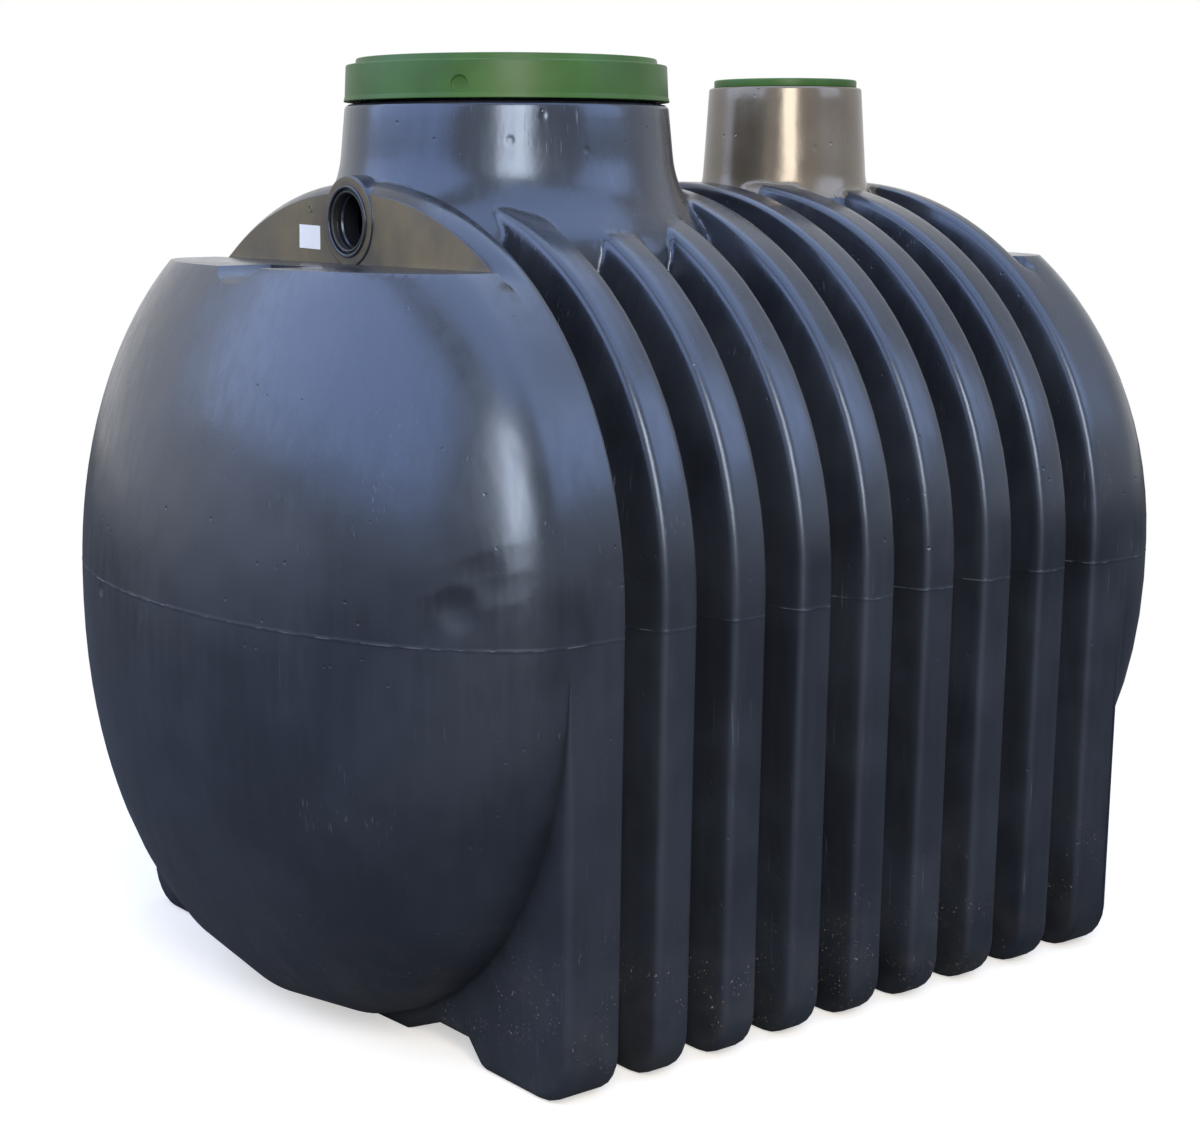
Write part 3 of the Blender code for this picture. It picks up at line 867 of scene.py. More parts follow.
    def hood_solids(self) -> tuple[bpy.types.Object, bpy.types.Object]:
        """The round hoods about both pipe sockets, and the holes through them.

        Returns:
            The solid to join and the solid to cut away.
        """
        hoods = bmesh.new()
        holes = bmesh.new()
        for end in (self.inlet, self.outlet):
            centre = Vector((0.0, end.at(end.setback), end.socket_height))
            axis = Vector((0.0, end.inward, 0.0))
            profile = rounded_run([
                (0.0, -self.hood_proud),
                (self.hood_radius, -self.hood_proud),
                (self.hood_radius, self.hood_depth),
                (0.0, self.hood_depth),
            ], [self.hood_edge, self.hood_back_edge], CORNER_STEPS)
            back = self.hood_depth + self.overrun
            hole = [Vector(pair) for pair in ((0.0, -self.overrun), (self.socket_radius, -self.overrun),
                                              (self.socket_radius, back), (0.0, back))]
            append_mesh(hoods, spun(profile, centre, axis, self.hood_steps))
            append_mesh(holes, spun(hole, centre, axis, self.hood_steps))
        for made in hoods.faces:
            made.material_index = Origin.NECK.value
        return add_piece("hood_forms", hoods), add_piece("hood_holes", holes)

    def cut_backs(self, deeper: float = 0.0) -> bpy.types.Object:
        """The air over both shelves, in front of the upright pipe faces.

        Args:
            deeper: How far the solid reaches past the shelves and the faces, for what is cut inside.

        Returns:
            The solid.
        """
        form = self.form
        bottom = form.shelf_height - deeper
        air = bmesh.new()
        for end in (self.inlet, self.outlet):
            made = bmesh.ops.create_cube(air, size=1.0)["verts"]
            length = end.depth + self.overrun + end.setback + deeper
            top = form.crest + self.air_height
            bmesh.ops.scale(air, verts=made, vec=(2 * form.half_width + self.overrun, length, top - bottom))
            bmesh.ops.translate(air, verts=made, vec=(0.0, end.at(end.setback + deeper - length / 2),
                                                      (top + bottom) / 2))
        return add_piece("cut_backs", air)

    def scoops(self, clearance: float = 0.0) -> bpy.types.Object:
        """The shallow round scoops in the lip of both shelves, below the pipes.

        Args:
            clearance: How far the solids grow, to keep the wall's thickness round the scoops.

        Returns:
            The solid to cut away.
        """
        rounds = bmesh.new()
        for end in (self.inlet, self.outlet):
            centre = Vector((0.0, end.at(clearance - self.scoop_start),
                             self.form.shelf_height + self.scoop_radius - self.scoop_depth))
            reach = -(end.depth + self.overrun)
            radius = self.scoop_radius + clearance
            profile = [Vector(pair) for pair in ((0.0, 0.0), (radius, 0.0), (radius, reach), (0.0, reach))]
            append_mesh(rounds, spun(profile, centre, Vector((0.0, end.inward, 0.0)), self.scoop_steps))
        return add_piece("shelf_scoops", rounds)

    def work_skin(self, skin: bmesh.types.BMesh) -> None:
        """Press in the dents, and raise the thin parting line that the two halves of the mould leave.

        Args:
            skin: The body before it is hollowed out.
        """
        for dent in self.dents:
            dent.press(skin)
        margin, half_width = self.seam_margin, self.seam_half_width
        for shift in (-margin, margin, -half_width, half_width, 0.0):
            cut = bmesh.ops.bisect_plane(skin, geom=skin.verts[:] + skin.edges[:] + skin.faces[:], dist=1e-6,
                                         plane_co=(0.0, 0.0, self.seam_height + shift), plane_no=UP)
        skin.normal_update()
        for vert in [item for item in cut["geom_cut"] if isinstance(item, bmesh.types.BMVert)]:
            level = Vector((vert.normal.x, vert.normal.y, 0.0))
            vert.co += level.normalized() * self.seam_proud

    def soften_junctions(self, skin: bmesh.types.BMesh) -> None:
        """Round the creases where the necks and hoods grow out of the ribs, as the mould does.

        Args:
            skin: The joined body, whose faces still carry the number of their solid.
        """
        crease = [edge for edge in skin.edges
                  if len({face.material_index for face in edge.link_faces}) > 1 and self.is_outside(edge)]
        line = KDTree(2 * len(crease))
        for number, edge in enumerate(crease):
            for turn, vert in enumerate(edge.verts):
                line.insert(vert.co, 2 * number + turn)
        line.balance()

        def gap(vert: bmesh.types.BMVert) -> float:
            """Distance from a vertex to the nearest crease."""
            return line.find(vert.co)[2]

        near = [face for face in skin.faces if min(gap(vert) for vert in face.verts) < self.fillet_reach]
        bmesh.ops.triangulate(skin, faces=near)
        for _ in range(self.fillet_rounds):
            long = [edge for edge in skin.edges if edge.calc_length() > self.fillet_cell
                    and min(gap(vert) for vert in edge.verts) < self.fillet_reach]
            bmesh.ops.subdivide_edges(skin, edges=long, cuts=1)
            loose = [face for face in skin.faces if len(face.verts) > 4]
            bmesh.ops.triangulate(skin, faces=loose)
        for step in range(self.fillet_passes):
            reach = self.fillet_reach * (1 - self.fillet_narrowing * step / self.fillet_passes)
            soft = [vert for vert in skin.verts if gap(vert) < reach and self.is_free(vert)]
            bmesh.ops.smooth_vert(skin, verts=soft, factor=self.fillet_pull, use_axis_x=True,
                                  use_axis_y=True, use_axis_z=True)

    def round_lips(self, skin: bmesh.types.BMesh) -> None:
        """Round the outer edges of both shelves and pipe faces a little, as the mould's edges do.

        Args:
            skin: The joined body with both ends cut back.
        """
        skin.normal_update()
        lips = [edge for edge in skin.edges if edge.is_convex and edge.calc_face_angle(0.0) > self.lip_angle
                and any(self.is_cut(face) for face in edge.link_faces)]
        bmesh.ops.bevel(skin, geom=lips, offset=self.lip_radius, offset_type="OFFSET", segments=2,
                        profile=0.5, affect="EDGES", clamp_overlap=True, material=-1)

    def is_cut(self, face: bmesh.types.BMFace) -> bool:
        """Whether a face lies in a shelf or in a pipe face.

        Args:
            face: The face.

        Returns:
            Whether it does.
        """
        centre = face.calc_center_median()
        if face.normal.z > self.straight:
            return abs(centre.z - self.form.shelf_height) < self.touching
        return abs(face.normal.y) > self.straight and self.face_gap(centre.y) < self.touching

    def face_gap(self, place: float) -> float:
        """Distance along the tank from a place to the nearer pipe face."""
        return min(abs(place - end.at(end.setback)) for end in (self.inlet, self.outlet))

    def is_outside(self, edge: bmesh.types.BMEdge) -> bool:
        """Whether an edge lies where the necks meet the barrel's outside, behind the pipe faces."""
        return all(self.is_free(vert) for vert in edge.verts)

    def is_free(self, vert: bmesh.types.BMVert) -> bool:
        """Whether a vertex lies clear of both upright pipe faces, so that their outlines stay crisp."""
        return all((vert.co.y - end.at(end.setback)) * end.inward > self.clear
                   for end in (self.inlet, self.outlet))

    def region(self, face: bpy.types.MeshPolygon) -> int:
        """Find which finish a face of the body takes.

        Args:
            face: The face.

        Returns:
            0 for the skin, 1 for the pipe faces and 2 for the small neck.
        """
        near = self.face_gap(face.center.y) < self.hood_proud + self.clear
        if near and abs(face.normal.y) > self.upright and face.center.z > self.form.shelf_height:
            return 1
        away = math.hypot(face.center.x, face.center.y - self.inspection_y)
        drop = away * away / self.neck_finish_fall
        if away < self.inspection_collar_radius and face.center.z > self.form.crest - drop:
            return 2
        return 0

    def build(self, *finishes: bpy.types.Material) -> None:
        """Put the moulded skin together and dress it.

        Args:
            finishes: Materials of the skin, the pipe faces and the small neck.
        """
        body = self.outer_solid()
        necks, bores = self.neck_solids()
        hoods, holes = self.hood_solids()
        marks = [bpy.data.materials.new(origin.name) for origin in Origin]
        for solid in (body, necks, hoods):
            for mark in marks:
                solid.data.materials.append(mark)
        combine(body, necks, Join.ADD)
        combine(body, self.cut_backs(), Join.CUT)
        combine(body, hoods, Join.ADD)
        with edited(body) as skin:
            self.soften_junctions(skin)
            self.round_lips(skin)
        combine(body, self.scoops(), Join.CUT)
        with edited(body) as skin:
            self.work_skin(skin)
        combine(bores, self.cut_backs(self.form.wall), Join.CUT)
        room = self.room_solid()
        combine(room, self.scoops(self.form.wall), Join.CUT)
        combine(body, room, Join.CUT)
        combine(body, bores, Join.CUT)
        combine(body, holes, Join.CUT)
        body.data.materials.clear()
        for finish in finishes:
            body.data.materials.append(finish)
        for face in body.data.polygons:
            face.material_index = self.region(face)
        for mark in marks:
            bpy.data.materials.remove(mark)
        shade(body.data)
        carried(body, Carrier.TANK, Slot.SHELL, "front_band", "rear_band", "front_end", "rear_end",
                "manhole_neck", "inspection_neck", "inlet_face", "outlet_face",
                *[f"rib_{number}" for number in range(1, self.form.rib_count + 1)])


@dataclass
class ManholeCover:
    """Injection-moulded cover: a skirt, a flat rim and a raised middle, hollow underneath."""

    centre_y: float
    foot: float
    radius: float = 0.331
    skirt_height: float = 0.068
    skirt_drop: float = 0.005
    skirt_flare: float = 0.003
    draft: float = 0.003
    wall: float = 0.008
    disc_inset: float = 0.022
    disc_height: float = 0.013
    disc_edge: float = 0.005
    lip_width: float = 0.006
    lip_height: float = 0.0016
    grip_radius: float = 0.019
    grip_depth: float = 0.0045
    grip_height: float = 0.022
    grip_turn: float = math.radians(-52.0)
    grip_floor_share: float = 0.8
    roundings: tuple[float, ...] = (0.004, 0.0015, 0.0015, 0.006, 0.003, 0.002, 0.0025, 0.001, 0.001)
    grip_roundings: tuple[float, ...] = (0.003, 0.0002)
    longest: float = 0.06
    steps: int = 160
    grip_steps: int = 40

    def build(self, finish: bpy.types.Material) -> None:
        """Spin the cover and dress it.

        Args:
            finish: Its material.
        """
        rim = self.skirt_height
        crown = rim + self.disc_height
        disc = self.radius - self.disc_inset
        profile = rounded_run([
            (0.0, rim - self.wall),
            (self.radius - self.wall, rim - self.wall),
            (self.radius - self.wall, -self.skirt_drop),
            (self.radius + self.skirt_flare, -self.skirt_drop),
            (self.radius, self.skirt_drop),
            (self.radius - self.draft, rim),
            (disc, rim),
            (disc - self.disc_edge / 2, crown),
            (disc - self.lip_width, crown),
            (disc - self.lip_width - self.lip_height, crown - self.lip_height),
            (0.0, crown - self.lip_height),
        ], self.roundings, CORNER_STEPS)
        seat = Vector((0.0, self.centre_y, self.foot))
        skin = spun(filled_run(profile, self.longest), seat, UP, self.steps)
        cover = add_piece("green_cover", skin, finish)
        rounds = bmesh.new()
        for turn in (self.grip_turn, self.grip_turn + math.pi):
            out = Vector((math.cos(turn), math.sin(turn), 0.0))
            bottom = seat + out * (self.radius - self.grip_depth) + UP * self.grip_height
            grip = rounded_run([
                (0.0, 0.0),
                (self.grip_radius * self.grip_floor_share, 0.0),
                (self.grip_radius, 2 * self.grip_depth),
                (0.0, 2 * self.grip_depth),
            ], self.grip_roundings, CORNER_STEPS)
            append_mesh(rounds, spun(grip, bottom, out, self.grip_steps))
        combine(cover, add_piece("grips", rounds), Join.CUT)
        cover.data.set_sharp_from_angle(angle=CREASE_ANGLE)
        carried(cover, Carrier.COVER, Slot.COVER, "manhole_cover")


@dataclass
class InspectionCap:
    """Injection-moulded cap: a thin disc on the neck's rim with a plug below it."""

    centre_y: float
    rim: float
    radius: float = 0.160
    lift: float = 0.0045
    gap: float = 0.0004
    thickness: float = 0.013
    plug_radius: float = 0.150
    plug_depth: float = 0.040
    plug_wall: float = 0.008
    rim_share: float = 0.9
    dish_share: float = 0.88
    dish: float = 0.002
    roundings: tuple[float, ...] = (0.003, 0.001, 0.001, 0.001, 0.0015, 0.004, 0.002, 0.002)
    longest: float = 0.05
    steps: int = 96

    def build(self, finish: bpy.types.Material) -> None:
        """Spin the cap and dress it.

        Args:
            finish: Its material.
        """
        crown = self.lift + self.thickness
        profile = rounded_run([
            (0.0, self.lift),
            (self.plug_radius - self.plug_wall, self.lift),
            (self.plug_radius - self.plug_wall, -self.plug_depth),
            (self.plug_radius, -self.plug_depth),
            (self.plug_radius, self.gap),
            (self.radius, self.gap),
            (self.radius, crown),
            (self.radius * self.rim_share, crown),
            (self.radius * self.dish_share, crown - self.dish),
            (0.0, crown - self.dish),
        ], self.roundings, CORNER_STEPS)
        skin = spun(filled_run(profile, self.longest), Vector((0.0, self.centre_y, self.rim)), UP, self.steps)
        carried(add_piece("green_cap", skin, finish), Carrier.CAP, Slot.COVER, "inspection_cap")


@dataclass
class PipeFitting:
    """Pipe socket with its lip seal, in the hood of one pipe face."""

    end: PipeEnd
    bore: float = 0.055
    radius: float = 0.0705
    proud: float = 0.007
    tail: float = 0.056
    seal_width: float = 0.009
    seal_seat: float = 0.014
    seal_front: float = 0.002
    seal_gap: float = 0.0006
    seal_back_gap: float = 0.0004
    seal_lead: float = 0.004
    seal_rim: float = 0.0025
    ridge: float = 0.0022
    ridge_start: float = 0.024
    ridge_slope: float = 0.003
    ridge_width: float = 0.004
    roundings: tuple[float, ...] = (0.0018, 0.0018, 0.0004, 0.001, 0.001, 0.001, 0.001, 0.001)
    seal_roundings: tuple[float, ...] = (0.0008, 0.001, 0.0015, 0.0015)
    steps: int = 72

    def build(self, plastic: bpy.types.Material, rubber: bpy.types.Material) -> None:
        """Spin the socket and the seal and dress them.

        Args:
            plastic: The socket's material.
            rubber: The seal's material.
        """
        centre = Vector((0.0, self.end.at(self.end.setback), self.end.socket_height))
        axis = Vector((0.0, self.end.inward, 0.0))
        mouth = -self.proud
        seat = self.bore + self.seal_width
        ridge = self.bore - self.ridge
        rise = mouth + self.ridge_start
        corners = [
            (self.radius, self.tail),
            (self.radius, mouth),
            (seat, mouth),
            (seat, mouth + self.seal_seat),
            (self.bore, mouth + self.seal_seat),
            (self.bore, rise),
            (ridge, rise + self.ridge_slope),
            (ridge, rise + self.ridge_slope + self.ridge_width),
            (self.bore, rise + 2 * self.ridge_slope + self.ridge_width),
            (self.bore, self.tail),
        ]
        profile = rounded_run(corners, self.roundings, CORNER_STEPS)
        socket = spun(profile + [profile[0]], centre, axis, self.steps)
        carried(add_piece(f"{self.end.name}_collar", socket, plastic), Carrier.TANK, Slot.SHELL,
                f"{self.end.name}_socket")
        outer = seat - self.seal_gap
        back = mouth + self.seal_seat - self.seal_back_gap
        front = mouth + self.seal_front
        ring = rounded_run([
            (outer, back),
            (outer, front + self.seal_lead),
            (outer - self.seal_rim, front + self.seal_lead),
            (self.bore + self.seal_lead, front),
            (self.bore, front + self.seal_lead / 2),
            (self.bore, back),
        ], self.seal_roundings, CORNER_STEPS - 1)
        seal = spun(ring + [ring[0]], centre, axis, self.steps)
        carried(add_piece(f"{self.end.name}_lip_seal", seal, rubber), Carrier.TANK, Slot.SEAL,
                f"{self.end.name}_seal")


@dataclass
class FaceMarks:
    """Blank paper label and small moulded ring on the inlet's pipe face."""

    face_y: float
    label_middle: tuple[float, float] = (-0.1475, 1.541)
    label_size: tuple[float, float] = (0.079, 0.047)
    label_thickness: float = 0.0006
    label_tilt: float = math.radians(-1.5)
    label_cells: tuple[int, int] = (8, 5)
    ring_middle: tuple[float, float] = (-0.144, 1.597)
    ring_radius: float = 0.0065
    ring_wire: float = 0.0015
    wire_steps: int = 8
    ring_steps: int = 32

    def build(self, paper: bpy.types.Material, plastic: bpy.types.Material) -> None:
        """Make both marks and dress them.

        Args:
            paper: The label's material.
            plastic: The ring's material.
        """
        label = bmesh.new()
        across, up = self.label_cells
        bmesh.ops.create_grid(label, x_segments=across, y_segments=up, size=0.5)
        bmesh.ops.scale(label, verts=label.verts, vec=(*self.label_size, 1.0))
        shell = bmesh.ops.extrude_face_region(label, geom=label.faces[:])["geom"]
        top = [item for item in shell if isinstance(item, bmesh.types.BMVert)]
        bmesh.ops.translate(label, verts=top, vec=(0.0, 0.0, self.label_thickness))
        bmesh.ops.recalc_face_normals(label, faces=label.faces)
        turn = Matrix.Rotation(math.pi / 2, 4, "X") @ Matrix.Rotation(self.label_tilt, 4, "Z")
        bmesh.ops.transform(label, verts=label.verts, matrix=Matrix.Translation(
            (self.label_middle[0], self.face_y, self.label_middle[1])) @ turn)
        carried(add_piece("blank_label", label, paper), Carrier.TANK, Slot.SHELL)
        turns = [2 * math.pi * step / self.wire_steps for step in range(self.wire_steps + 1)]
        wire = [Vector((self.ring_radius + self.ring_wire * math.cos(turn),
                        self.ring_wire * math.sin(turn))) for turn in turns]
        ring = spun(wire, Vector((self.ring_middle[0], self.face_y, self.ring_middle[1])),
                    Vector((0.0, -1.0, 0.0)), self.ring_steps)
        carried(add_piece("moulded_ring", ring, plastic), Carrier.TANK, Slot.SHELL)


# Finishes


def linear(hex_colour: str) -> tuple[float, float, float, float]:
    """An sRGB hex colour as the linear values that Blender works in.

    Args:
        hex_colour: The colour, such as "#1a1c20".

    Returns:
        Red, green, blue and an alpha of 1.
    """
    shares = [int(hex_colour[place:place + 2], 16) / 255 for place in (1, 3, 5)]
    red, green, blue = (share / 12.92 if share <= 0.04045 else ((share + 0.055) / 1.055) ** 2.4
                        for share in shares)
    return red, green, blue, 1.0


class Operation(Enum):
    """Arithmetic of a node tree."""

    TIMES = "MULTIPLY"
    PLUS = "ADD"
    MINUS = "SUBTRACT"
    LARGER = "MAXIMUM"
    SIZE = "ABSOLUTE"


class NodeGraph:
    """Node tree of one finish or of the world, with short calls for the steps that they share."""

    def __init__(self, owner: bpy.types.Material | bpy.types.World) -> None:
        """Start from an empty tree.

        Args:
            owner: The material or the world.
        """
        owner.use_nodes = True
        self.owner = owner
        self.tree = owner.node_tree
        self.tree.nodes.clear()

    def add(self, kind: str, inputs: dict[str | int, Value] | None = None, output: str | int = 0,
            **settings: object) -> Socket | None:
        """Add a node with its settings, and link or set its inputs.

        Args:
            kind: The node's type.
            inputs: For each input's name or number, an output socket to link or a value to set.
            output: Name or number of the output that is wanted.
            settings: Properties of the node.

        Returns:
            The output; none for a node that has no outputs.
        """
        node = self.tree.nodes.new(kind)
        for name, value in settings.items():
            setattr(node, name, value)
        for name, value in (inputs or {}).items():
            if isinstance(value, Socket):
                self.tree.links.new(value, node.inputs[name])
            else:
                node.inputs[name].default_value = value
        return node.outputs[output] if node.outputs else None

    @cached_property
    def place(self) -> Socket:
        """Object coordinates, in metres."""
        return self.add("ShaderNodeTexCoord", output="Object")

    def noise(self, size: float, detail: float = 2.0, stretch: tuple[float, float, float] = (1.0, 1.0, 1.0),
              tilt: float = 0.0, roughness: float = 0.55) -> Socket:
        """Noise whose blobs have a real size.

        Args:
            size: Size of a blob in metres.
            detail: Octaves.
            stretch: How much longer the blobs are along each axis.
            tilt: Turn of the pattern about the tank's width and length, in radians.
            roughness: Share that each octave keeps of the one before.

        Returns:
            The noise's value.
        """
        scale = tuple(1.0 / share for share in stretch)
        laid = self.add("ShaderNodeMapping", {"Vector": self.place, "Scale": scale,
                                              "Rotation": (tilt, tilt, 0.0)})
        return self.add("ShaderNodeTexNoise", {"Vector": laid, "Scale": 1.0 / size, "Detail": detail,
                                               "Roughness": roughness})

    def between(self, value: Value, low: float, high: float, to_low: float = 0.0, to_high: float = 1.0,
                ease: str = "SMOOTHSTEP") -> Socket:
        """Map a value from one span to another.

        Args:
            value: The value.
            low: Start of its span.
            high: End of its span.
            to_low: Result at the start.
            to_high: Result at the end.
            ease: Blender's name for how the result runs from one end to the other.

        Returns:
            The mapped value.
        """
        return self.add("ShaderNodeMapRange", {"Value": value, "From Min": low, "From Max": high,
                                               "To Min": to_low, "To Max": to_high}, interpolation_type=ease)

    def figure(self, how: Operation, *values: Value) -> Socket:
        """Combine several values with one operation, in turn.

        Args:
            how: The operation.
            values: The values.

        Returns:
            The result.
        """
        result = values[0]
        for value in values[1:]:
            result = self.add("ShaderNodeMath", {0: result, 1: value}, operation=how.value)
        return result

    def times(self, *values: Value) -> Socket:
        """Product of several values."""
        return self.figure(Operation.TIMES, *values)

    def tint(self, mask: Value, below: Value, above: str) -> Socket:
        """Lay a colour, given in hex, over another through a mask."""
        return self.add("ShaderNodeMix", {"Factor": mask, 6: below, 7: linear(above)}, 2, data_type="RGBA")

    def bump(self, height: Socket, distance: float, strength: float, under: Socket | None = None,
             invert: bool = False) -> Socket:
        """Relief finer than the mesh.

        Args:
            height: The relief's height, from 0 to 1.
            distance: What a height of 1 is in metres.
            strength: Share of it that shows.
            under: Normal of a coarser relief that this one lies on.
            invert: Whether the relief goes inward.

        Returns:
            The normal.
        """
        inputs = {"Height": height, "Distance": distance, "Strength": strength}
        if under:
            inputs["Normal"] = under
        return self.add("ShaderNodeBump", inputs, invert=invert)

    def close(self, surface: Socket, kind: str = "ShaderNodeOutputMaterial"
              ) -> bpy.types.Material | bpy.types.World:
        """Link the surface to the tree's output, and hand its owner back."""
        self.add(kind, {"Surface": surface})
        return self.owner


@dataclass(frozen=True)
class SkinMasks:
    """What the moulded skin's colour, gloss and relief share; all but the first two run from 0 to 1."""

    height: Socket
    facing: Socket
    cloud: Socket
    stained: Socket
    rubbed: Socket
    low: Socket
    soiled: Socket


@dataclass(frozen=True)
class RotomouldedPolyethylene:
    """Black polyethylene, moulded by turning powder in a hot mould.

    It gives a satin skin with slow waves and faint orange peel that gets glossier with height, long thin
    rub marks, pinholes, a worn parting line, grey dust where it lies level, and dry soil along the foot.
    Sizes are in metres.
    """

    name: str = "rotomoulded_polyethylene"
    dark: str = "#181a1f"
    light: str = "#23262c"
    dust: str = "#76716a"
    dust_share: float = 0.12
    film_share: float = 0.10
    soil: str = "#9a8d7a"
    soil_low: float = 0.05
    soil_high: float = 0.42
    scuff: str = "#5d636e"
    ior: float = 1.51
    specular: float = 0.75
    sheen_colour: str = "#cbdeff"
    matt: float = 0.46
    satin: float = 0.29
    gloss: float = 0.22
    matt_height: float = 0.661
    satin_height: float = 1.10
    gloss_height: float = 1.62
    seam_height: float = 0.861
    seam_half_width: float = 0.0016
    stain: str = "#3a332a"
    stain_share: float = 0.0
    cloud_size: float = 0.30
    streak_size: float = 0.022
    stain_size: float = 0.16
    rub_size: float = 0.0040
    speck_size: float = 0.0055
    peel_size: float = 0.011
    peel_depth: float = 0.0004
    wave_size: float = 0.17
    wave_depth: float = 0.008
    pit_spacing: float = 0.034
    pit_depth: float = 0.0012

    def rubs(self, graph: NodeGraph, facing: Socket) -> Socket:
        """Long thin rub marks on steep walls: the peaks of noise drawn out into needles.

        Args:
            graph: The material's nodes.
            facing: Upward part of the surface's normal.

        Returns:
            1 on a mark and 0 beside it.
        """
        upright = graph.noise(self.rub_size, 0.0, (1.0, 1.0, 50.0))
        slanting = graph.noise(self.rub_size, 0.0, (1.0, 1.0, 36.0), math.radians(38.0))
        patch = graph.between(graph.noise(0.16), 0.54, 0.70)
        steep = graph.between(graph.figure(Operation.SIZE, facing, 0.0), 0.22, 0.50, 1.0, 0.0)
        marks = graph.figure(Operation.LARGER, graph.between(upright, 0.70, 0.86),
                             graph.between(slanting, 0.76, 0.88))
        return graph.times(marks, patch, steep)

    def masks(self, graph: NodeGraph) -> SkinMasks:
        """Lay out where each mark of the skin shows.

        Args:
            graph: The material's nodes.

        Returns:
            The masks.
        """
        height = graph.add("ShaderNodeSeparateXYZ", {"Vector": graph.place}, "Z")
        normal = graph.add("ShaderNodeNewGeometry", output="Normal")
        facing = graph.add("ShaderNodeSeparateXYZ", {"Vector": normal}, "Z")
        low = graph.between(height, self.soil_low, self.soil_high, 1.0, 0.0)
        specks = graph.between(graph.noise(self.speck_size, 3.0), 0.64, 0.70)
        spread = graph.between(graph.noise(0.09), 0.48, 0.62)
        return SkinMasks(
            height, facing, graph.noise(self.cloud_size, 3.0),
            graph.times(graph.between(graph.noise(self.stain_size, 6.0), 0.12, 0.72), self.stain_share),
            self.rubs(graph, facing), low, graph.times(low, specks, spread))

    def colour(self, graph: NodeGraph, masks: SkinMasks) -> Socket:
        """Colour of the skin: clouded black, then stains, rub marks, dust, soil and the worn parting line.

        Args:
            graph: The material's nodes.
            masks: Where the marks show.

        Returns:
            The colour.
        """
        level = graph.between(masks.facing, 0.80, 1.0, 0.0, self.dust_share)
        grime = graph.times(level, graph.between(graph.noise(0.05, 4.0), 0.4, 0.7))
        film = graph.times(masks.low, graph.between(graph.noise(0.13, 4.0), 0.4, 0.75), self.film_share)
        above = graph.figure(Operation.MINUS, masks.height, self.seam_height)
        away = graph.figure(Operation.SIZE, above, 0.0)
        worn = graph.times(graph.between(away, 0.0, self.seam_half_width, 1.0, 0.0),
                           graph.between(graph.noise(0.045), 0.46, 0.62, 0.0, 0.8))
        made = linear(self.dark)
        for mask, over in (
                (graph.between(masks.cloud, 0.35, 0.65), self.light),
                (masks.stained, self.stain),
                (graph.times(masks.rubbed, 0.4), self.scuff),
                (grime, self.dust),
                (graph.times(masks.soiled, 0.85), self.soil),
                (film, self.dust),
                (worn, self.scuff)):
            made = graph.tint(mask, made, over)
        return made

    def roughness(self, graph: NodeGraph, masks: SkinMasks) -> Socket:
        """Roughness of the skin: matt below, satin halfway, glossy on top, duller on every mark.

        Args:
            graph: The material's nodes.
            masks: Where the marks show.

        Returns:
            The roughness.
        """
        streak = graph.noise(self.streak_size, 2.0, (1.0, 1.0, 9.0))
        return graph.figure(
            Operation.PLUS,
            graph.between(masks.height, self.matt_height, self.satin_height, self.matt, self.satin),
            graph.between(masks.height, self.satin_height, self.gloss_height, 0.0, self.gloss - self.satin),
            graph.between(masks.cloud, 0.3, 0.7, -0.02, 0.04),
            graph.between(streak, 0.35, 0.70, -0.015, 0.045),
            graph.times(masks.rubbed, 0.15), graph.times(masks.soiled, 0.4), graph.times(masks.stained, 0.25))

    def relief(self, graph: NodeGraph, masks: SkinMasks) -> Socket:
        """Relief of the skin: slow waves, orange peel on them, then pinholes and rub marks.

        Args:
            graph: The material's nodes.
            masks: Where the marks show.

        Returns:
            The normal.
        """
        wave = graph.bump(graph.noise(self.wave_size, 1.0), self.wave_depth, 0.4)
        peel = graph.bump(graph.noise(self.peel_size, 1.0), self.peel_depth, 0.25, wave)
        holes = graph.add("ShaderNodeTexVoronoi", {"Vector": graph.place, "Scale": 1 / self.pit_spacing})
        pits = graph.times(graph.between(holes, 0.05, 0.13, 1.0, 0.0),
                           graph.between(graph.noise(0.12, 1.0), 0.52, 0.60))
        cuts = graph.figure(Operation.PLUS, pits, graph.times(masks.rubbed, 0.3))
        return graph.bump(cuts, self.pit_depth, 0.5, peel, invert=True)

    def make(self) -> bpy.types.Material:
        """Build the material.

        Returns:
            The material.
        """
        graph = NodeGraph(bpy.data.materials.new(self.name))
        masks = self.masks(graph)
        return graph.close(graph.add("ShaderNodeBsdfPrincipled", {
            "Base Color": self.colour(graph, masks), "Roughness": self.roughness(graph, masks),
            "IOR": self.ior, "Specular IOR Level": self.specular, "Specular Tint": linear(self.sheen_colour),
            "Normal": self.relief(graph, masks)}))


@dataclass(frozen=True)
class PlainPlastic:
    """Moulded plastic, rubber or coated paper: a faintly clouded colour, soft gloss and fine peel."""

    name: str
    pigment: str
    clouded: str
    roughness: float
    gloss_change: float = 0.07
    cloud_size: float = 0.12
    peel_size: float = 0.006
    peel_depth: float = 0.0003
    ior: float = 1.50
    specular: float = 0.5

    def make(self) -> bpy.types.Material:
        """Build the material.

        Returns:
            The material.
        """
        graph = NodeGraph(bpy.data.materials.new(self.name))
        cloud = graph.noise(self.cloud_size, 3.0, roughness=0.5)
        mask = graph.between(cloud, 0.35, 0.68, ease="LINEAR")
        rough = graph.between(cloud, 0.0, 1.0, self.roughness - self.gloss_change,
                              self.roughness + self.gloss_change, "LINEAR")
        return graph.close(graph.add("ShaderNodeBsdfPrincipled", {
            "Base Color": graph.tint(mask, linear(self.pigment), self.clouded), "Roughness": rough,
            "IOR": self.ior, "Specular IOR Level": self.specular,
            "Normal": graph.bump(graph.noise(self.peel_size, roughness=0.5), self.peel_depth, 0.25)}))


